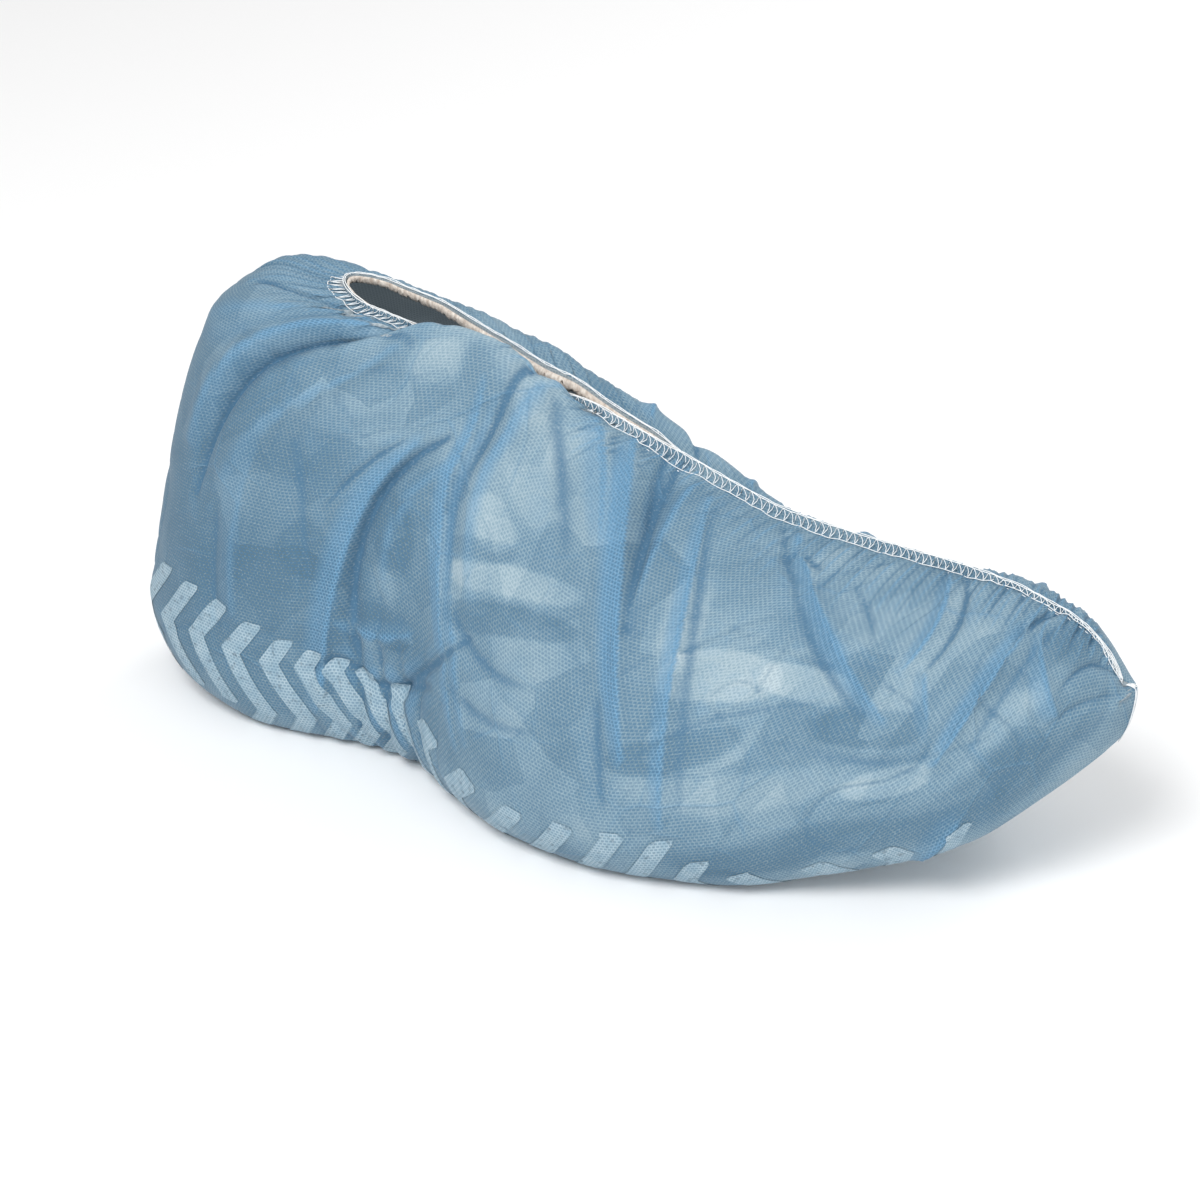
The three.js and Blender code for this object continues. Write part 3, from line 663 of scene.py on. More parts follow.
def pulls(delta, lengths):
    """How the threads between neighbours pull towards their own lengths."""
    size = np.linalg.norm(delta, axis=-1) + 1e-9
    return delta * ((size - lengths) / size)[..., None]


def pull_across(points, lengths):
    pull = pulls(np.roll(points, -1, axis=1) - points, lengths)
    return pull - np.roll(pull, 1, axis=1)


def pull_up(points, lengths):
    pull = pulls(points[1:] - points[:-1], lengths)
    move = np.zeros_like(points)
    move[:-1] += pull
    move[1:] -= pull
    return move


def neighbour_mean(grid):
    above = np.concatenate([grid[1:], grid[-1:]])
    below = np.concatenate([grid[:1], grid[:-1]])
    return (above + below + np.roll(grid, 1, axis=1) + np.roll(grid, -1, axis=1)) / 4


def settle(form, normals, values, start):
    """How far each point of the form moves as the slack cloth settles, from a first displacement."""
    stiff = np.where(values > 1, HEM_FREEDOM, 1)
    free = (np.clip((values + 0.75) / 0.6, 0, 1) * stiff)[:, None, None]
    share = np.interp(values, SLACK["row"], SLACK["share"])[:, None]
    moved = start
    for stride, steps in SETTLE_LEVELS:
        rows = np.unique(np.append(np.arange(0, len(values), stride), len(values) - 1))
        here = form[rows][:, ::stride]
        facing = normals[rows][:, ::stride]
        loose = free[rows]
        across = np.linalg.norm(np.roll(here, -1, axis=1) - here, axis=-1)
        widest = across[np.searchsorted(values[rows], 0)]
        across = across + np.maximum(widest - across, 0) * share[rows]
        up = np.linalg.norm(np.diff(here, axis=0), axis=-1) * SLACK_UP
        now = moved[rows][:, ::stride]
        before = now.copy()
        for _ in range(steps):
            points = here + now
            move = SETTLE_PULL * (pull_across(points, across) + pull_up(points, up))
            ahead = now + move + SETTLE_MOMENTUM * (now - before)
            ahead += SETTLE_BEND * (neighbour_mean(ahead) - ahead)
            ahead *= 1 - SETTLE_HOLD
            out = (ahead * facing).sum(-1, keepdims=True)
            ahead += (np.clip(out, -MOST_IN, MOST_OUT) - out) * facing
            before, now = now, ahead * loose
        moved = spread(now, rows, stride, len(values))
    return moved


def spread(coarse, rows, stride, row_count):
    """A coarse grid's values on the fine grid."""
    columns = np.arange(0, COLUMNS + 1, stride)
    closed = np.concatenate([coarse, coarse[:, :1]], axis=1)
    wide = np.apply_along_axis(lambda line: np.interp(np.arange(COLUMNS), columns, line), 1, closed)
    return np.apply_along_axis(lambda line: np.interp(np.arange(row_count), rows, line), 0, wide)


def above_mean(height, times):
    """How far each point stands out above the mean of its neighbourhood, which widens with the times."""
    mean = height
    for _ in range(times):
        mean = neighbour_mean(mean)
    return height - mean


def cloth_grid():
    """The rows' values, the smooth form's points, the settled cloth's, and maps of its tint, tone,
    relief and gathers."""
    values, smooth = smooth_grid()
    normals = grid_normals(smooth)
    folds, tints = fold_maps(values)
    lift = folds + bunch_heights(values) + seam_heights(values)
    form = smooth + normals * lift[..., None]
    start = normals * (gather_heights(values) + swell_heights(smooth, values))[..., None]
    normals = grid_normals(form)
    points = form + settle(form, normals, values, start)
    points += grid_normals(points) * crease_heights(smooth, values)[..., None]
    height = ((points - smooth) * normals).sum(-1)
    maps = {
        "tint": tints,
        "tone": patch_tones(values),
        "relief": above_mean(height, 40),
        "gather": above_mean(height, 5),
    }
    return values, smooth, points, maps


PRINT_HEIGHT = 0.0002  # metres, off the cloth


def to_frame(points_mm):
    """The millimetre form, put where the frame has the cover, with the thin print on the floor."""
    low, high = CLOTH_BOX
    scale = (high[0] - low[0]) / LENGTH
    middle_y = (WIDEST_Y.min() + WIDEST_Y.max()) / 2
    floor_z = CAD_BOUNDS[0][2] + PRINT_HEIGHT
    return points_mm * scale + np.array([low[0], (low[1] + high[1]) / 2 - middle_y * scale, floor_z])


ROW_VALUES, SMOOTH_MM, POINTS_MM, MAPS = cloth_grid()
POINTS = to_frame(POINTS_MM)
NORMALS = grid_normals(POINTS)


def cloth_uv(smooth):
    """Where each grid point lies on the flat cloth, in metres: along the cover from the heel's back,
    and round it from the sole's middle line. The far side counts backwards."""
    widest = smooth[SOLE_ROWS + CORNER_ROWS]
    steps = np.linalg.norm(np.roll(widest, -1, axis=0) - widest, axis=-1)
    near = np.concatenate([[0], np.cumsum(steps[:HALF])])
    far = -np.cumsum(steps[::-1][: HALF - 1])[::-1]
    u = np.broadcast_to(np.concatenate([near, far]), smooth.shape[:2])
    up = np.linalg.norm(np.diff(smooth, axis=0), axis=-1)
    v = np.concatenate([np.zeros((1, COLUMNS)), np.cumsum(up, axis=0)])
    return np.stack([u, v * np.where(SIDES == NEAR, 1, -1)], -1)


CLOTH_UV = cloth_uv(to_frame(SMOOTH_MM))


# ---- Meshes


def grid_faces(rows, columns, closed=True, turned=False):
    """The corners of each face on a grid, as pairs of row and column. A closed grid goes round from the
    last column to the first, and a turned one has its faces the other way round."""
    faces = []
    for r in range(rows - 1):
        for c in range(columns if closed else columns - 1):
            d = (c + 1) % columns
            ring = [(r, c), (r, d), (r + 1, d), (r + 1, c)]
            faces.append(ring[:1] + ring[:0:-1] if turned else ring)
    return faces


def make_mesh(name, vertices, faces, uvs=None, smooth=True):
    """An object from points and faces; uvs holds one pair for each face corner, in order."""
    mesh = bpy.data.meshes.new(name)
    mesh.from_pydata([tuple(v) for v in vertices], [], faces)
    if uvs is not None:
        layer = mesh.uv_layers.new(name="cloth")
        layer.data.foreach_set("uv", np.asarray(uvs, dtype=np.float32).ravel())
    mesh.polygons.foreach_set("use_smooth", [smooth] * len(mesh.polygons))
    mesh.update()
    piece = bpy.data.objects.new(name, mesh)
    bpy.context.scene.collection.objects.link(piece)
    return piece


def vertex_ids():
    """The cloth's vertices, and which of them each grid point is. The sole's middle line is shared by the
    near and the far half, and by the fans of the heel and the toe."""
    ids = np.zeros(POINTS.shape[:2], int)
    vertices = []
    by_x = {}
    for c, point in enumerate(POINTS[0]):
        key = round(float(point[0]), 7)
        if key not in by_x:
            by_x[key] = len(vertices)
            vertices.append(point)
        ids[0, c] = by_x[key]
    ids[1:] = np.arange(ids[1:].size).reshape(-1, COLUMNS) + len(vertices)
    vertices.extend(POINTS[1:].reshape(-1, 3))
    return vertices, ids


def flat_corners(ring):
    """Where a face's corners lie on the flat cloth. Past the toe's and the heel's seam a face carries on
    along its own side, instead of jumping to the other side's count."""
    flat = [CLOTH_UV[corner].copy() for corner in ring]
    c = ring[0][1]
    if c in (HALF - 1, COLUMNS - 1):
        for corner, beside in ((1, 0), (2, 3)):
            r = ring[corner][0]
            flat[corner] = flat[beside] + (CLOTH_UV[r, c] - CLOTH_UV[r, c - 1])
    return flat


def cloth_piece():
    vertices, ids = vertex_ids()
    faces, uvs = [], []
    for ring in grid_faces(*ids.shape):
        face = [int(ids[corner]) for corner in ring]
        flat = flat_corners(ring)
        keep = [k for k in range(4) if face[k] not in face[:k]]
        if len(keep) > 2:
            faces.append([face[k] for k in keep])
            uvs.extend(flat[k] for k in keep)
    piece = make_mesh("cover_cloth", vertices, faces, uvs)
    for name, values in MAPS.items():
        by_vertex = np.zeros(len(vertices), np.float32)
        by_vertex[ids] = values
        piece.data.attributes.new(name, "FLOAT", "POINT").data.foreach_set("value", by_vertex)
    return piece


INNER_GAP = 0.0004  # the thickness of the cloth


def inner_face():
    """The cloth's inner face, which shows in the mouth."""
    inside = (POINTS - NORMALS * INNER_GAP)[SOLE_ROWS:]
    rings = grid_faces(len(inside), COLUMNS, turned=True)
    faces = [[r * COLUMNS + c for r, c in ring] for ring in rings]
    uvs = [CLOTH_UV[SOLE_ROWS + r, c] for ring in rings for r, c in ring]
    return make_mesh("cloth_inner_face", inside.reshape(-1, 3), faces, uvs)


# ---- Places on the cloth


def sample(grid, row, column):
    """A grid's value between its points, going round at the last column."""
    r = np.clip(row, 0, grid.shape[0] - 1.001)
    r0 = int(r)
    c = column % grid.shape[1]
    c0 = int(c)
    c1 = (c0 + 1) % grid.shape[1]
    fr, fc = r - r0, c - c0
    lower = grid[r0, c0] * (1 - fc) + grid[r0, c1] * fc
    upper = grid[r0 + 1, c0] * (1 - fc) + grid[r0 + 1, c1] * fc
    return lower * (1 - fr) + upper * fr


def on_cloth(row, column, height):
    """The point at this place of the grid, and this high off the cloth, in metres."""
    normal = sample(NORMALS, row, column)
    return sample(POINTS, row, column) + normal / np.linalg.norm(normal) * height


TOP_ROW = len(ROW_VALUES) - 1
HEM_ROW = TOP_ROW - HEM_ROWS
EDGE_STEPS = np.linalg.norm(np.roll(POINTS[HEM_ROW], -1, axis=0) - POINTS[HEM_ROW], axis=-1)
EDGE_LENGTHS = np.concatenate([[0], np.cumsum(EDGE_STEPS)])


def column_along_edge(distance):
    """The column at this distance round the opening's edge, from its heel end over the near side."""
    return np.interp(distance % EDGE_LENGTHS[-1], EDGE_LENGTHS, np.arange(COLUMNS + 1))


def column_at(x_mm, side):
    turn = math.acos(min(max(1 - 2 * x_mm / LENGTH, -1), 1))
    column = np.interp(turn, ANGLES[: HALF + 1], np.arange(HALF + 1))
    return column if side == NEAR else COLUMNS - column


def row_at(column, distance):
    """The row at this distance up the cloth from the sole's middle line, in millimetres."""
    lengths = np.abs(CLOTH_UV[:, int(column) % COLUMNS, 1]) * 1000
    return np.interp(distance, lengths, np.arange(len(lengths)))


# ---- The print: zigzag stripes round the sole
# A stripe is placed by the x of its corners nearest the heel, and runs from the near side to the far one.
# Distances round the sole are from its middle line, in millimetres.

STRIPE_WIDTH = 7.4
STRIPE_ARM = 20  # from one corner of the zigzag to the next
STRIPE_SWEEP = 12.5  # how far an arm runs along the cover
STRIPE_FIRST_CORNER = 62
STRIPE_POINTS = 10  # across a stripe
STRIPE_END_ROUND = 1.6  # its ends are cut square, with their corners rounded off over this
STRIPE_END_WIDTH = 0.72
FIRST_STRIPE = 4.5
LAST_STRIPE = 280
# The stripes up to here leave the middle of the sole bare under the heel, this far to each side.
HEEL_STRIPES_TO = 42
HEEL_STRIPE_END = 40
# The pitch is even on the flat cloth, and less where the cloth is bunched under the arch.
STRIPE_PITCH = table("x pitch", [(0, 15), (50, 14.5), (80, 10.5), (110, 14), (150, 16), (280, 16)])
PRINT_REACH = table(
    "x reach",
    [
        (0, 82), (25, 79), (50, 75), (65, 71), (80, 68), (100, 64), (112, 66), (126, 71),
        (143, 77), (158, 80), (178, 84), (192, 84), (222, 70), (247, 57), (285, 43), (300, 36),
    ],
)


def zigzag(distance):
    phase = abs((distance + STRIPE_FIRST_CORNER) / STRIPE_ARM) % 2
    return STRIPE_SWEEP * (2 - phase if phase > 1 else phase)


def stripe_lines(x, start, end):
    """Lines across a stripe, a millimetre apart, each of them places on the cloth: row and column."""
    lines = []
    for distance in np.linspace(start, end, max(int(end - start), 2)):
        side = NEAR if distance <= 0 else FAR
        from_end = min(distance - start, end - distance)
        narrowed = STRIPE_END_WIDTH + (1 - STRIPE_END_WIDTH) * from_end / STRIPE_END_ROUND
        width = STRIPE_WIDTH * min(1.0, narrowed)
        parts = x + zigzag(distance) + np.linspace(-0.5, 0.5, STRIPE_POINTS) * width
        columns = [column_at(part, side) for part in parts]
        lines.append([(row_at(column, abs(distance)), column) for column in columns])
    return lines


def stripe_places():
    places = [FIRST_STRIPE]
    while places[-1] < LAST_STRIPE:
        places.append(places[-1] + float(read(STRIPE_PITCH, "pitch", places[-1])))
    return places


def stripes():
    made = []
    for x in stripe_places():
        reach = float(read(PRINT_REACH, "reach", x))
        if x < HEEL_STRIPES_TO:
            made += [stripe_lines(x, -reach, -HEEL_STRIPE_END), stripe_lines(x, HEEL_STRIPE_END, reach)]
        else:
            made.append(stripe_lines(x, -reach, reach))
    return made


def grip_print():
    vertices, faces, uvs = [], [], []
    for lines in stripes():
        base = len(vertices)
        places = [place for line in lines for place in line]
        vertices += [on_cloth(row, column, PRINT_HEIGHT) for row, column in places]
        flat = [sample(CLOTH_UV, row, column) for row, column in places]
        for ring in grid_faces(len(lines), STRIPE_POINTS, closed=False, turned=True):
            corners = [r * STRIPE_POINTS + c for r, c in ring]
            faces.append([base + k for k in corners])
            uvs.extend(flat[k] for k in corners)
    return make_mesh("grip_print", vertices, faces, uvs)


# ---- The elastic and the overlock stitches along the opening's edge

# The elastic is thickest round the ankle, where it is least stretched. Its thickness and its inset from
# the cloth are in millimetres, and low is how many rows further down the cloth it reaches.
ELASTIC = table(
    "x thick inset low",
    [
        (76, 0.8, 0.8, 0.0),
        (104, 1.2, 0.8, 0.4),
        (130, 2.2, 0.6, 1.6),
        (165, 1.8, 0.6, 1.4),
        (190, 1.0, 0.5, 1.0),
        (215, 0.5, 0.4, 0.8),
        (330, 0.4, 0.4, 0.6),
    ],
)
ELASTIC_SIDES = 10


def opening_elastic():
    vertices = []
    for c in range(COLUMNS):
        thick, inset, low = (float(read(ELASTIC, name, EDGE_X[c])) for name in ("thick", "inset", "low"))
        lump = 1 + 0.35 * noise.noise(Vector((c / 9, 0, 0))) + 0.5 * noise.noise(Vector((c / 28, 7, 0)))
        for k in range(ELASTIC_SIDES):
            turn = 2 * math.pi * k / ELASTIC_SIDES
            row = HEM_ROW + HEM_ROWS * 0.45 - low / 2 + (HEM_ROWS * 0.4 + low / 2) * math.sin(turn)
            depth = inset + thick * lump * (0.5 - 0.5 * math.cos(turn))
            vertices.append(on_cloth(row, c, -depth / 1000))
    rings = grid_faces(COLUMNS + 1, ELASTIC_SIDES)
    faces = [[r % COLUMNS * ELASTIC_SIDES + k for r, k in ring] for ring in rings]
    return make_mesh("elastic_band", vertices, faces)


THREAD_RADIUS = 0.00015
THREAD_SIDES = 5
THREAD_OUTSIDE = 0.0003  # from the cloth to the middle of a thread on its outer face
THREAD_INSIDE = -0.0006
THREAD_OVER = 0.0004  # the same over the hem's top and the toe's seam
STITCH_PITCH = 0.003


def curved(points):
    """A smooth line through the points, with one more point between each two."""
    points = np.asarray(points)
    out = []
    for i in range(len(points) - 1):
        a, b, c = points[max(i - 1, 0)], points[i], points[i + 1]
        d = points[min(i + 2, len(points) - 1)]
        for t in (0.0, 0.5):
            line = 2 * b + (c - a) * t
            out.append(0.5 * (line + (2 * a - 5 * b + 4 * c - d) * t**2 + (3 * b - a - 3 * c + d) * t**3))
    return np.array(out + [points[-1]])


def thread_mesh(name, threads):
    """Round threads, each given as the points that it runs smoothly through and its radius."""
    vertices, faces = [], []
    up = np.array([0.31, 0.17, 0.93])  # no thread runs quite this way
    turns = 2 * math.pi * np.arange(THREAD_SIDES) / THREAD_SIDES
    for line, radius in threads:
        points = curved(line)
        base = len(vertices)
        along = np.gradient(points, axis=0)
        along /= np.linalg.norm(along, axis=1, keepdims=True) + 1e-12
        for point, direction in zip(points, along):
            side = np.cross(direction, up)
            side /= np.linalg.norm(side) + 1e-12
            other = np.cross(side, direction)
            for turn in turns:
                vertices.append(point + radius * (math.cos(turn) * side + math.sin(turn) * other))
        for ring in grid_faces(len(points), THREAD_SIDES):
            faces.append([base + r * THREAD_SIDES + k for r, k in ring])
        first = list(range(base, base + THREAD_SIDES))
        faces.append(first[::-1])
        faces.append([k + (len(points) - 1) * THREAD_SIDES for k in first])
    return make_mesh(name, vertices, faces)


def overlock_stitches():
    """On each face of the hem a thread along its foot and one along its top, and on the outer face the
    looper's thread, which zigzags between the two."""
    rng = np.random.default_rng(7)
    threads = []
    count = int(EDGE_LENGTHS[-1] / STITCH_PITCH)
    for face, height in ((1, THREAD_OUTSIDE), (-1, THREAD_INSIDE)):
        low, high, looper = [], [], []
        for i in range(count + 1):
            at = EDGE_LENGTHS[-1] * i / count
            stray = rng.normal(0, 1, 6)
            foot = HEM_ROW - 1.2 + 0.25 * stray[2]
            column = column_along_edge(at + stray[0] * 0.00015)
            between = column_along_edge(at + STITCH_PITCH * 0.5 + stray[1] * 0.0003)
            top = on_cloth(TOP_ROW, between, face * THREAD_OUTSIDE)
            top = top + np.array([0, 0, THREAD_OVER + 0.00012 * stray[3]])
            low.append(on_cloth(foot, column, height))
            high.append(top)
            rising, falling = (
                on_cloth((HEM_ROW + TOP_ROW) / 2, column_along_edge(at + STITCH_PITCH * part), height)
                for part in (0.2, 0.85)
            )
            looper += [on_cloth(foot, column, height * 1.15), rising, top, falling]
        threads += [(low, THREAD_RADIUS), (high, THREAD_RADIUS)]
        if face > 0:
            threads.append((looper, THREAD_RADIUS * 0.9))
    return thread_mesh("overlock_stitches", threads)


SEAM_STITCH_ROWS = 1.1
SEAM_STITCH_REACH = 0.9  # columns to each side
SEAM_STITCHES_TO = -0.6


def seam_stitches():
    """The overlock's looped threads run on down the toe's seam below the opening."""
    lowest = np.interp(SEAM_STITCHES_TO, ROW_VALUES, np.arange(len(ROW_VALUES)))
    lines = {-1: [], 0: [], 1: []}
    swing = 1
    for row in np.arange(lowest, HEM_ROW, SEAM_STITCH_ROWS):
        swing = -swing
        for side, line in lines.items():
            line.append(on_cloth(row, HALF + (side or swing) * SEAM_STITCH_REACH, THREAD_OVER))
    return thread_mesh("toe_seam_stitches", [(line, THREAD_RADIUS) for line in lines.values()])


# ---- Materials


def colour(red, green, blue):
    """A linear colour from one seen on a screen, each part from 0 to 255."""
    return tuple(
        part / 12.92 if part <= 0.04045 else ((part + 0.055) / 1.055) ** 2.4
        for part in (red / 255, green / 255, blue / 255)
    ) + (1.0,)


CLOTH_PALEST = colour(190, 206, 212)
CLOTH_TONES = [  # from the darkest
    (0.1, colour(86, 114, 130)),
    (0.32, colour(112, 140, 156)),
    (0.52, colour(138, 165, 180)),
    (0.72, colour(164, 186, 196)),
    (0.95, CLOTH_PALEST),
]
CLOTH_DOUBLE = colour(113, 160, 194)
CLOTH_SHADE = colour(78, 119, 149)

# The small bonded dashes that are pressed into the cloth in staggered rows, in metres
EMBOSS_LONG = 0.0013
EMBOSS_ROW = 0.0011
EMBOSS_GAP = 0.27  # of a row
EMBOSS_DEPTH = 0.00012


class Look:
    """A material's node tree. An input is another node's output, which is linked, or a plain value."""

    def __init__(self, name):
        self.material = bpy.data.materials.new(name)
        self.material.use_nodes = True
        self.tree = self.material.node_tree
        self.shader = self.tree.nodes["Principled BSDF"]

    def put(self, node, inputs):
        for key, value in inputs.items():
            if isinstance(value, bpy.types.NodeSocket):
                self.tree.links.new(value, node.inputs[key])
            else:
                node.inputs[key].default_value = value

    def add(self, kind, inputs, **settings):
        """The outputs of a new node."""
        node = self.tree.nodes.new("ShaderNode" + kind)
        for name, value in settings.items():
            setattr(node, name, value)
        self.put(node, inputs)
        return node.outputs

    def shade(self, inputs):
        """Sets inputs of the main shader, and returns the material."""
        self.put(self.shader, inputs)
        return self.material

    def mix(self, factor, a, b):
        return self.add("Mix", {0: factor, 6: a, 7: b}, data_type="RGBA")[2]

    def product(self, a, b):
        return self.add("Math", {0: a, 1: b}, operation="MULTIPLY")[0]

    def total(self, first, second, scale):
        """first + second * scale."""
        return self.add("Math", {0: second, 1: scale, 2: first}, operation="MULTIPLY_ADD")[0]

    def ramp(self, source, *stops):
        """The colours or shares of grey at these places of the source, blended between them."""
        output = self.add("ValToRGB", {0: source})[0]
        elements = output.node.color_ramp.elements
        while len(elements) < len(stops):
            elements.new(0.5)
        for element, (at, value) in zip(elements, stops):
            element.position = at
            element.color = value if isinstance(value, tuple) else (value, value, value, 1)
        return output

    def noise(self, place, scale, detail, stretch=(1, 1, 1)):
        stretched = self.add("Mapping", {0: place, "Scale": stretch})[0]
        return self.add("TexNoise", {"Vector": stretched, "Scale": scale, "Detail": detail})[0]

    def warped(self, place, scale, amount):
        """The place, pushed about by a noise of this scale, by up to half the amount each way."""
        push = self.add("TexNoise", {"Vector": place, "Scale": scale})["Color"]
        inputs = {0: push, 1: (amount, amount, 0), 2: place}
        return self.add("VectorMath", inputs, operation="MULTIPLY_ADD")[0]

    def cells(self, place, scale, feature, output):
        inputs = {"Vector": place, "Scale": scale}
        return self.add("TexVoronoi", inputs, voronoi_dimensions="2D", feature=feature)[output]

    def bump(self, height, distance, strength, **inputs):
        return self.add("Bump", {"Height": height, "Distance": distance, "Strength": strength, **inputs})[0]

    def cloth_map(self, name, low, high):
        """One of the cloth's maps, brought from this range to the one from 0 to 1."""
        value = self.add("Attribute", {}, attribute_name=name)["Fac"]
        return self.add("MapRange", {"Value": value, "From Min": low, "From Max": high})[0]

    def emboss(self):
        """1 in the cloth's pressed dashes and 0 between them, and the place on the flat cloth."""
        uv = self.add("UVMap", {}, uv_map="cloth")[0]
        bricks = {
            "Vector": uv,
            "Scale": 1.0,
            "Brick Width": EMBOSS_LONG,
            "Row Height": EMBOSS_ROW,
            "Mortar Size": EMBOSS_ROW * EMBOSS_GAP,
            "Mortar Smooth": 0.6,
            "Color1": (1, 1, 1, 1),
            "Color2": (1, 1, 1, 1),
            "Mortar": (0, 0, 0, 1),
        }
        return self.add("TexBrick", bricks, offset=0.5)["Color"], uv


TONE_SCALE = 0.24
CLOUD_SCALE = 0.5
FACET_SHADING_SCALE = 0.24


def cloth_tone(look, uv):
    """The lightness of the bare cloth, about 0.5: its tone map (the shoe inside seen through, painted shade
    at the heel), soft clouds, and painted shading of crumpled cloth.
    """
    clouds = look.noise(uv, 38, 3)
    # painted shading: each warped cell stands for a facet of crumpled cloth, made lighter or darker as if
    # light fell on it at its own angle
    facet_shading = look.ramp(look.cells(look.warped(uv, 40, 0.008), 55, "F1", "Color"), (0, 0), (1, 1))
    # the tone map: the shoe inside showing through the cloth, and painted shade over the heel, the waist and
    # the arch
    shoe_and_painted_shade = look.add("Attribute", {}, attribute_name="tone")["Fac"]
    tone = look.total(0.5 - 0.5 * CLOUD_SCALE - 0.5 * FACET_SHADING_SCALE, shoe_and_painted_shade, TONE_SCALE)
    return look.total(look.total(tone, clouds, CLOUD_SCALE), facet_shading, FACET_SHADING_SCALE)


CREASE_NETS = [(30, 0.005, 0.018), (66, 0.003, 0.03)]  # cells in a metre, how far they wander, line width


def crease_lines(look, uv):
    """1 on the thin lines where slack cloth has been creased, 0 between them."""
    nets = []
    for scale, wander, width in CREASE_NETS:
        edge = look.cells(look.warped(uv, scale * 1.3, wander), scale, "DISTANCE_TO_EDGE", "Distance")
        line = look.ramp(edge, (0, 1), (width, 0.25), (width * 2.2, 0))
        here = look.ramp(look.noise(uv, scale * 0.9, 1), (0.48, 0), (0.62, 1))
        nets.append(look.product(line, here))
    return look.total(*nets, 0.6)


def cloth_colour(look, uv, dashes, creases):
    """The cloth's colour, and the noise of its fibres."""
    tone = cloth_tone(look, uv)
    base = look.ramp(tone, *CLOTH_TONES)
    fibres = look.noise(uv, 1300, 2)
    marked = look.ramp(tone, (0.2, 0.95), (0.5, 0.65), (0.75, 0.25))
    # Ridges of the relief and the gathers take the doubled cloth's blue, and their hollows painted shade in
    # CLOTH_SHADE, like the folds' negative tints. The fibres' dark specks and the pressed dashes take that
    # same blue as marks of the cloth itself.
    layers = [
        (look.cloth_map("relief", 0.4, 3.6), CLOTH_DOUBLE),
        (look.cloth_map("relief", -0.4, -3.4), CLOTH_SHADE),
        (look.ramp(look.cloth_map("gather", 0.02, 0.5), (0, 0), (1, 0.8)), CLOTH_DOUBLE),
        (look.ramp(look.cloth_map("gather", -0.02, -0.45), (0, 0), (1, 0.8)), CLOTH_SHADE),
        (look.cloth_map("tint", 0.05, 1.1), CLOTH_DOUBLE),
        (look.cloth_map("tint", -0.05, -1.2), CLOTH_SHADE),
        (look.ramp(creases, (0, 0), (1, 0.4)), CLOTH_DOUBLE),
        (look.ramp(fibres, (0.3, 0.35), (0.5, 0)), CLOTH_SHADE),
        (look.ramp(fibres, (0.52, 0), (0.72, 0.3)), CLOTH_PALEST),
        (look.product(dashes, marked), CLOTH_SHADE),
    ]
    for share, tint in layers:
        base = look.mix(share, base, tint)
    return base, fibres


LIGHT_THROUGH = 0.2


def cloth_material():
    look = Look("non_woven_cloth")
    dashes, uv = look.emboss()
    creases = crease_lines(look, uv)
    base, fibres = cloth_colour(look, uv, dashes, creases)
    pressed = look.bump(dashes, EMBOSS_DEPTH, -0.5)
    creased = look.bump(creases, 0.0007, 0.5, Normal=pressed)
    glow = look.add("BsdfTranslucent", {"Color": base})[0]
    both = look.add("MixShader", {0: LIGHT_THROUGH, 1: look.shader.outputs[0], 2: glow})[0]
    look.put(look.tree.nodes["Material Output"], {"Surface": both})
    look.shade({"Roughness": 0.78, "Sheen Weight": 0.15, "Sheen Roughness": 0.4, "Specular IOR Level": 0.3})
    return look.shade({"Base Color": base, "Normal": look.bump(fibres, 0.00006, 0.3, Normal=creased)})


def inside_material():
    look = Look("cloth_inside")
    dashes, uv = look.emboss()
    base = look.mix(look.noise(uv, 40, 3), colour(128, 142, 150), colour(168, 178, 184))
    base = look.mix(look.ramp(dashes, (0, 0), (1, 0.5)), base, colour(100, 114, 122))
    # the day that comes through the thin cloth all round
    look.shade({"Emission Color": base, "Emission Strength": 0.16})
    normal = look.bump(dashes, EMBOSS_DEPTH, 0.5)
    return look.shade({"Base Color": base, "Roughness": 0.85, "Normal": normal})


def print_material():
    look = Look("white_grip_print")
    dashes, uv = look.emboss()
    worn = look.ramp(look.noise(uv, 240, 3), (0.3, 0), (0.7, 1))
    base = look.mix(worn, colour(170, 190, 200), colour(144, 170, 185))
    base = look.mix(look.ramp(dashes, (0, 0), (1, 0.7)), base, colour(96, 130, 152))
    thin = look.ramp(look.noise(uv, 420, 3), (0.3, 0.6), (0.44, 0.95))
    look.shade({"Base Color": base, "Alpha": thin, "Normal": look.bump(dashes, EMBOSS_DEPTH, -0.5)})
    return look.shade({"Roughness": 0.6, "Specular IOR Level": 0.3})


def thread_material():
    look = Look("white_thread")
    fuzz = look.noise(look.add("TexCoord", {})["Object"], 1800, 2)
    base = look.mix(fuzz, colour(214, 222, 228), colour(250, 250, 248))
    normal = look.bump(fuzz, 0.0001, 0.5)
    return look.shade({"Base Color": base, "Roughness": 0.75, "Sheen Weight": 0.3, "Normal": normal})


def elastic_material():
    look = Look("cream_elastic")
    crepe = look.noise(look.add("TexCoord", {})["Object"], 700, 3, stretch=(1.6, 0.6, 0.6))
    crepe = look.ramp(crepe, (0.3, 0), (0.7, 1))
    base = look.mix(crepe, colour(178, 164, 152), colour(228, 220, 210))
    normal = look.bump(crepe, 0.0004, 0.7)
    return look.shade({"Base Color": base, "Roughness": 0.85, "Sheen Weight": 0.3, "Normal": normal})


# ---- The pieces


def dress(piece, material, nodes=()):
    """Puts the piece on the body, with its material and the CAD nodes that it replaces."""
    piece.data.materials.append(material)
    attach(piece, "root")
    if nodes:
        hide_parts(*nodes)
    return piece


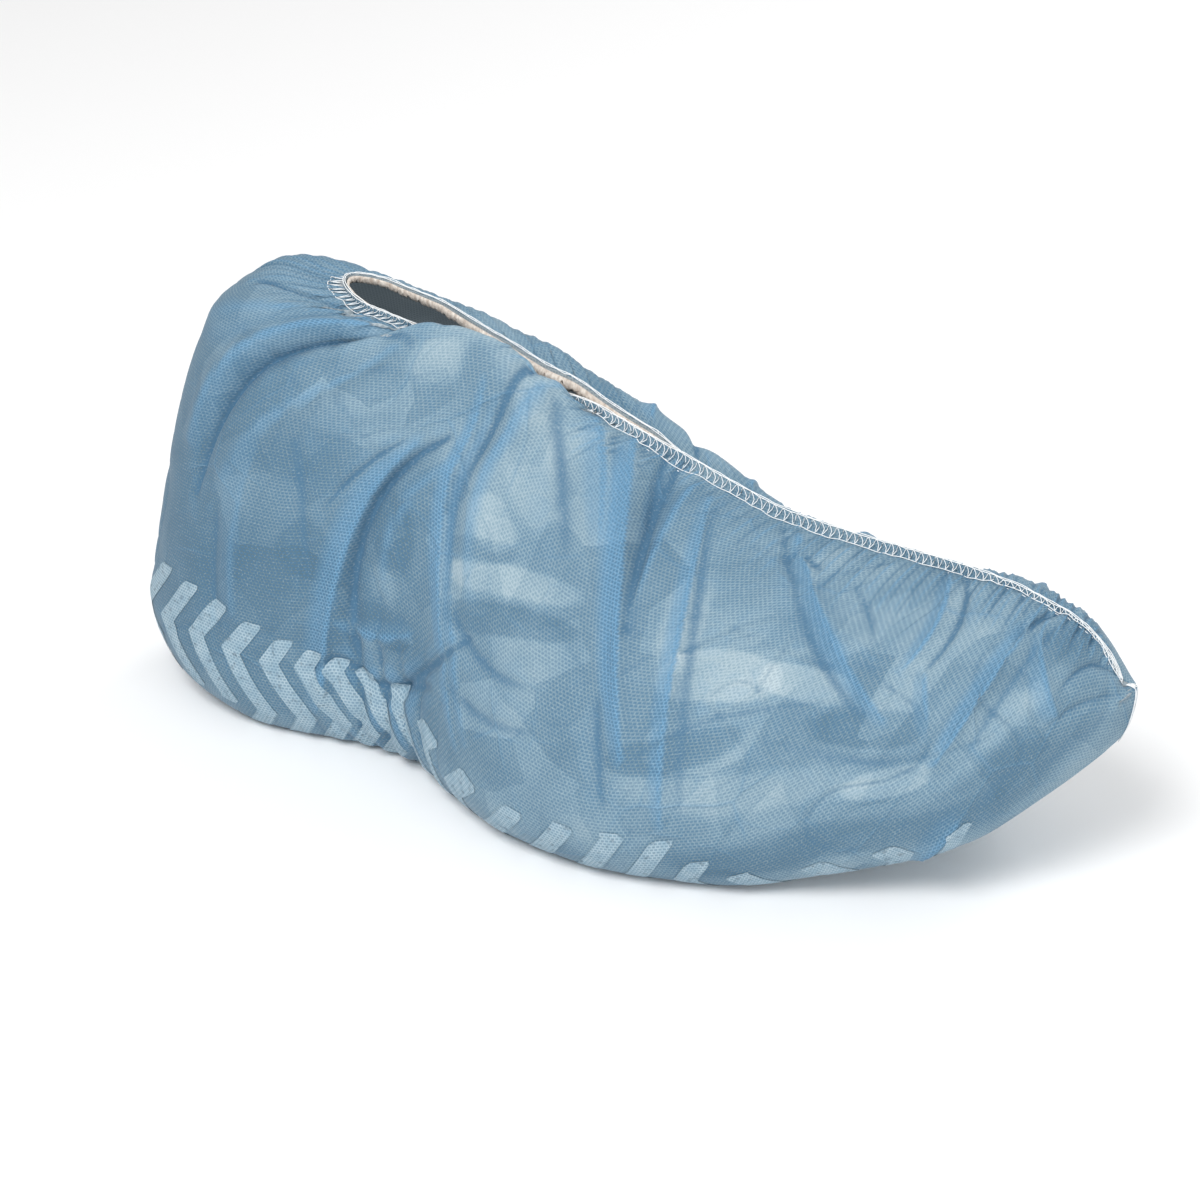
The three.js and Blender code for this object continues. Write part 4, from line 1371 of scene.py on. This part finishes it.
cloth = dress(cloth_piece(), cloth_material(), ["body_fabric"])
stripe_nodes = [name for name in frame["nodes"] if name.startswith("grip_")]
grip = dress(grip_print(), print_material(), stripe_nodes)
elastic = dress(opening_elastic(), elastic_material(), ["opening_elastic"])
stitches = dress(overlock_stitches(), thread_material())
seam = dress(seam_stitches(), thread_material())
lining = dress(inner_face(), inside_material())

# ---- Floor, lights and camera

FLOOR_SIZE = 12
FLOOR_GAP = 0.0002  # below the print, which would flicker against it
MIDDLE = (0, 0, 0.06)  # of the cover, where the lamps point
STUDIO_LIGHT = 0.55
CAMERA_EYE = (0.354, -0.750, 0.518)
CAMERA_TARGET = (0, 0, 0.062)
CAMERA_LENS = 92


def floor():
    half = FLOOR_SIZE / 2
    height = CAD_BOUNDS[0][2] - FLOOR_GAP
    corners = [(-half, -half, height), (half, -half, height), (half, half, height), (-half, half, height)]
    piece = make_mesh("floor", corners, [(0, 1, 2, 3)], smooth=False)
    pale = Look("pale_floor").shade({"Base Color": (0.93, 0.93, 0.93, 1), "Roughness": 0.9})
    piece.data.materials.append(pale)


def place(name, data, at, target):
    """Adds a lamp or a camera that faces the target."""
    thing = bpy.data.objects.new(name, data)
    thing.location = at
    thing.rotation_euler = (Vector(target) - Vector(at)).to_track_quat("-Z", "Y").to_euler()
    bpy.context.scene.collection.objects.link(thing)
    return thing


def area_light(name, at, size, power):
    light = bpy.data.lights.new(name, "AREA")
    light.size = size
    light.energy = power
    place(name, light, at, MIDDLE)


def world():
    studio = bpy.data.worlds.new("studio")
    studio.use_nodes = True
    background = studio.node_tree.nodes["Background"]
    background.inputs[0].default_value = (1, 1, 1, 1)
    background.inputs[1].default_value = STUDIO_LIGHT
    bpy.context.scene.world = studio


def camera():
    data = bpy.data.cameras.new("camera")
    data.lens = CAMERA_LENS
    data.sensor_width = 36
    bpy.context.scene.camera = place("camera", data, CAMERA_EYE, CAMERA_TARGET)


floor()
area_light("key", (-0.1, -0.95, 1.3), 0.7, 18)
area_light("fill", (1.3, -0.9, 0.5), 1.2, 7)
area_light("back", (0.5, 1.3, 1.0), 1.0, 9)
world()
camera()
bpy.context.scene.view_settings.view_transform = "Standard"
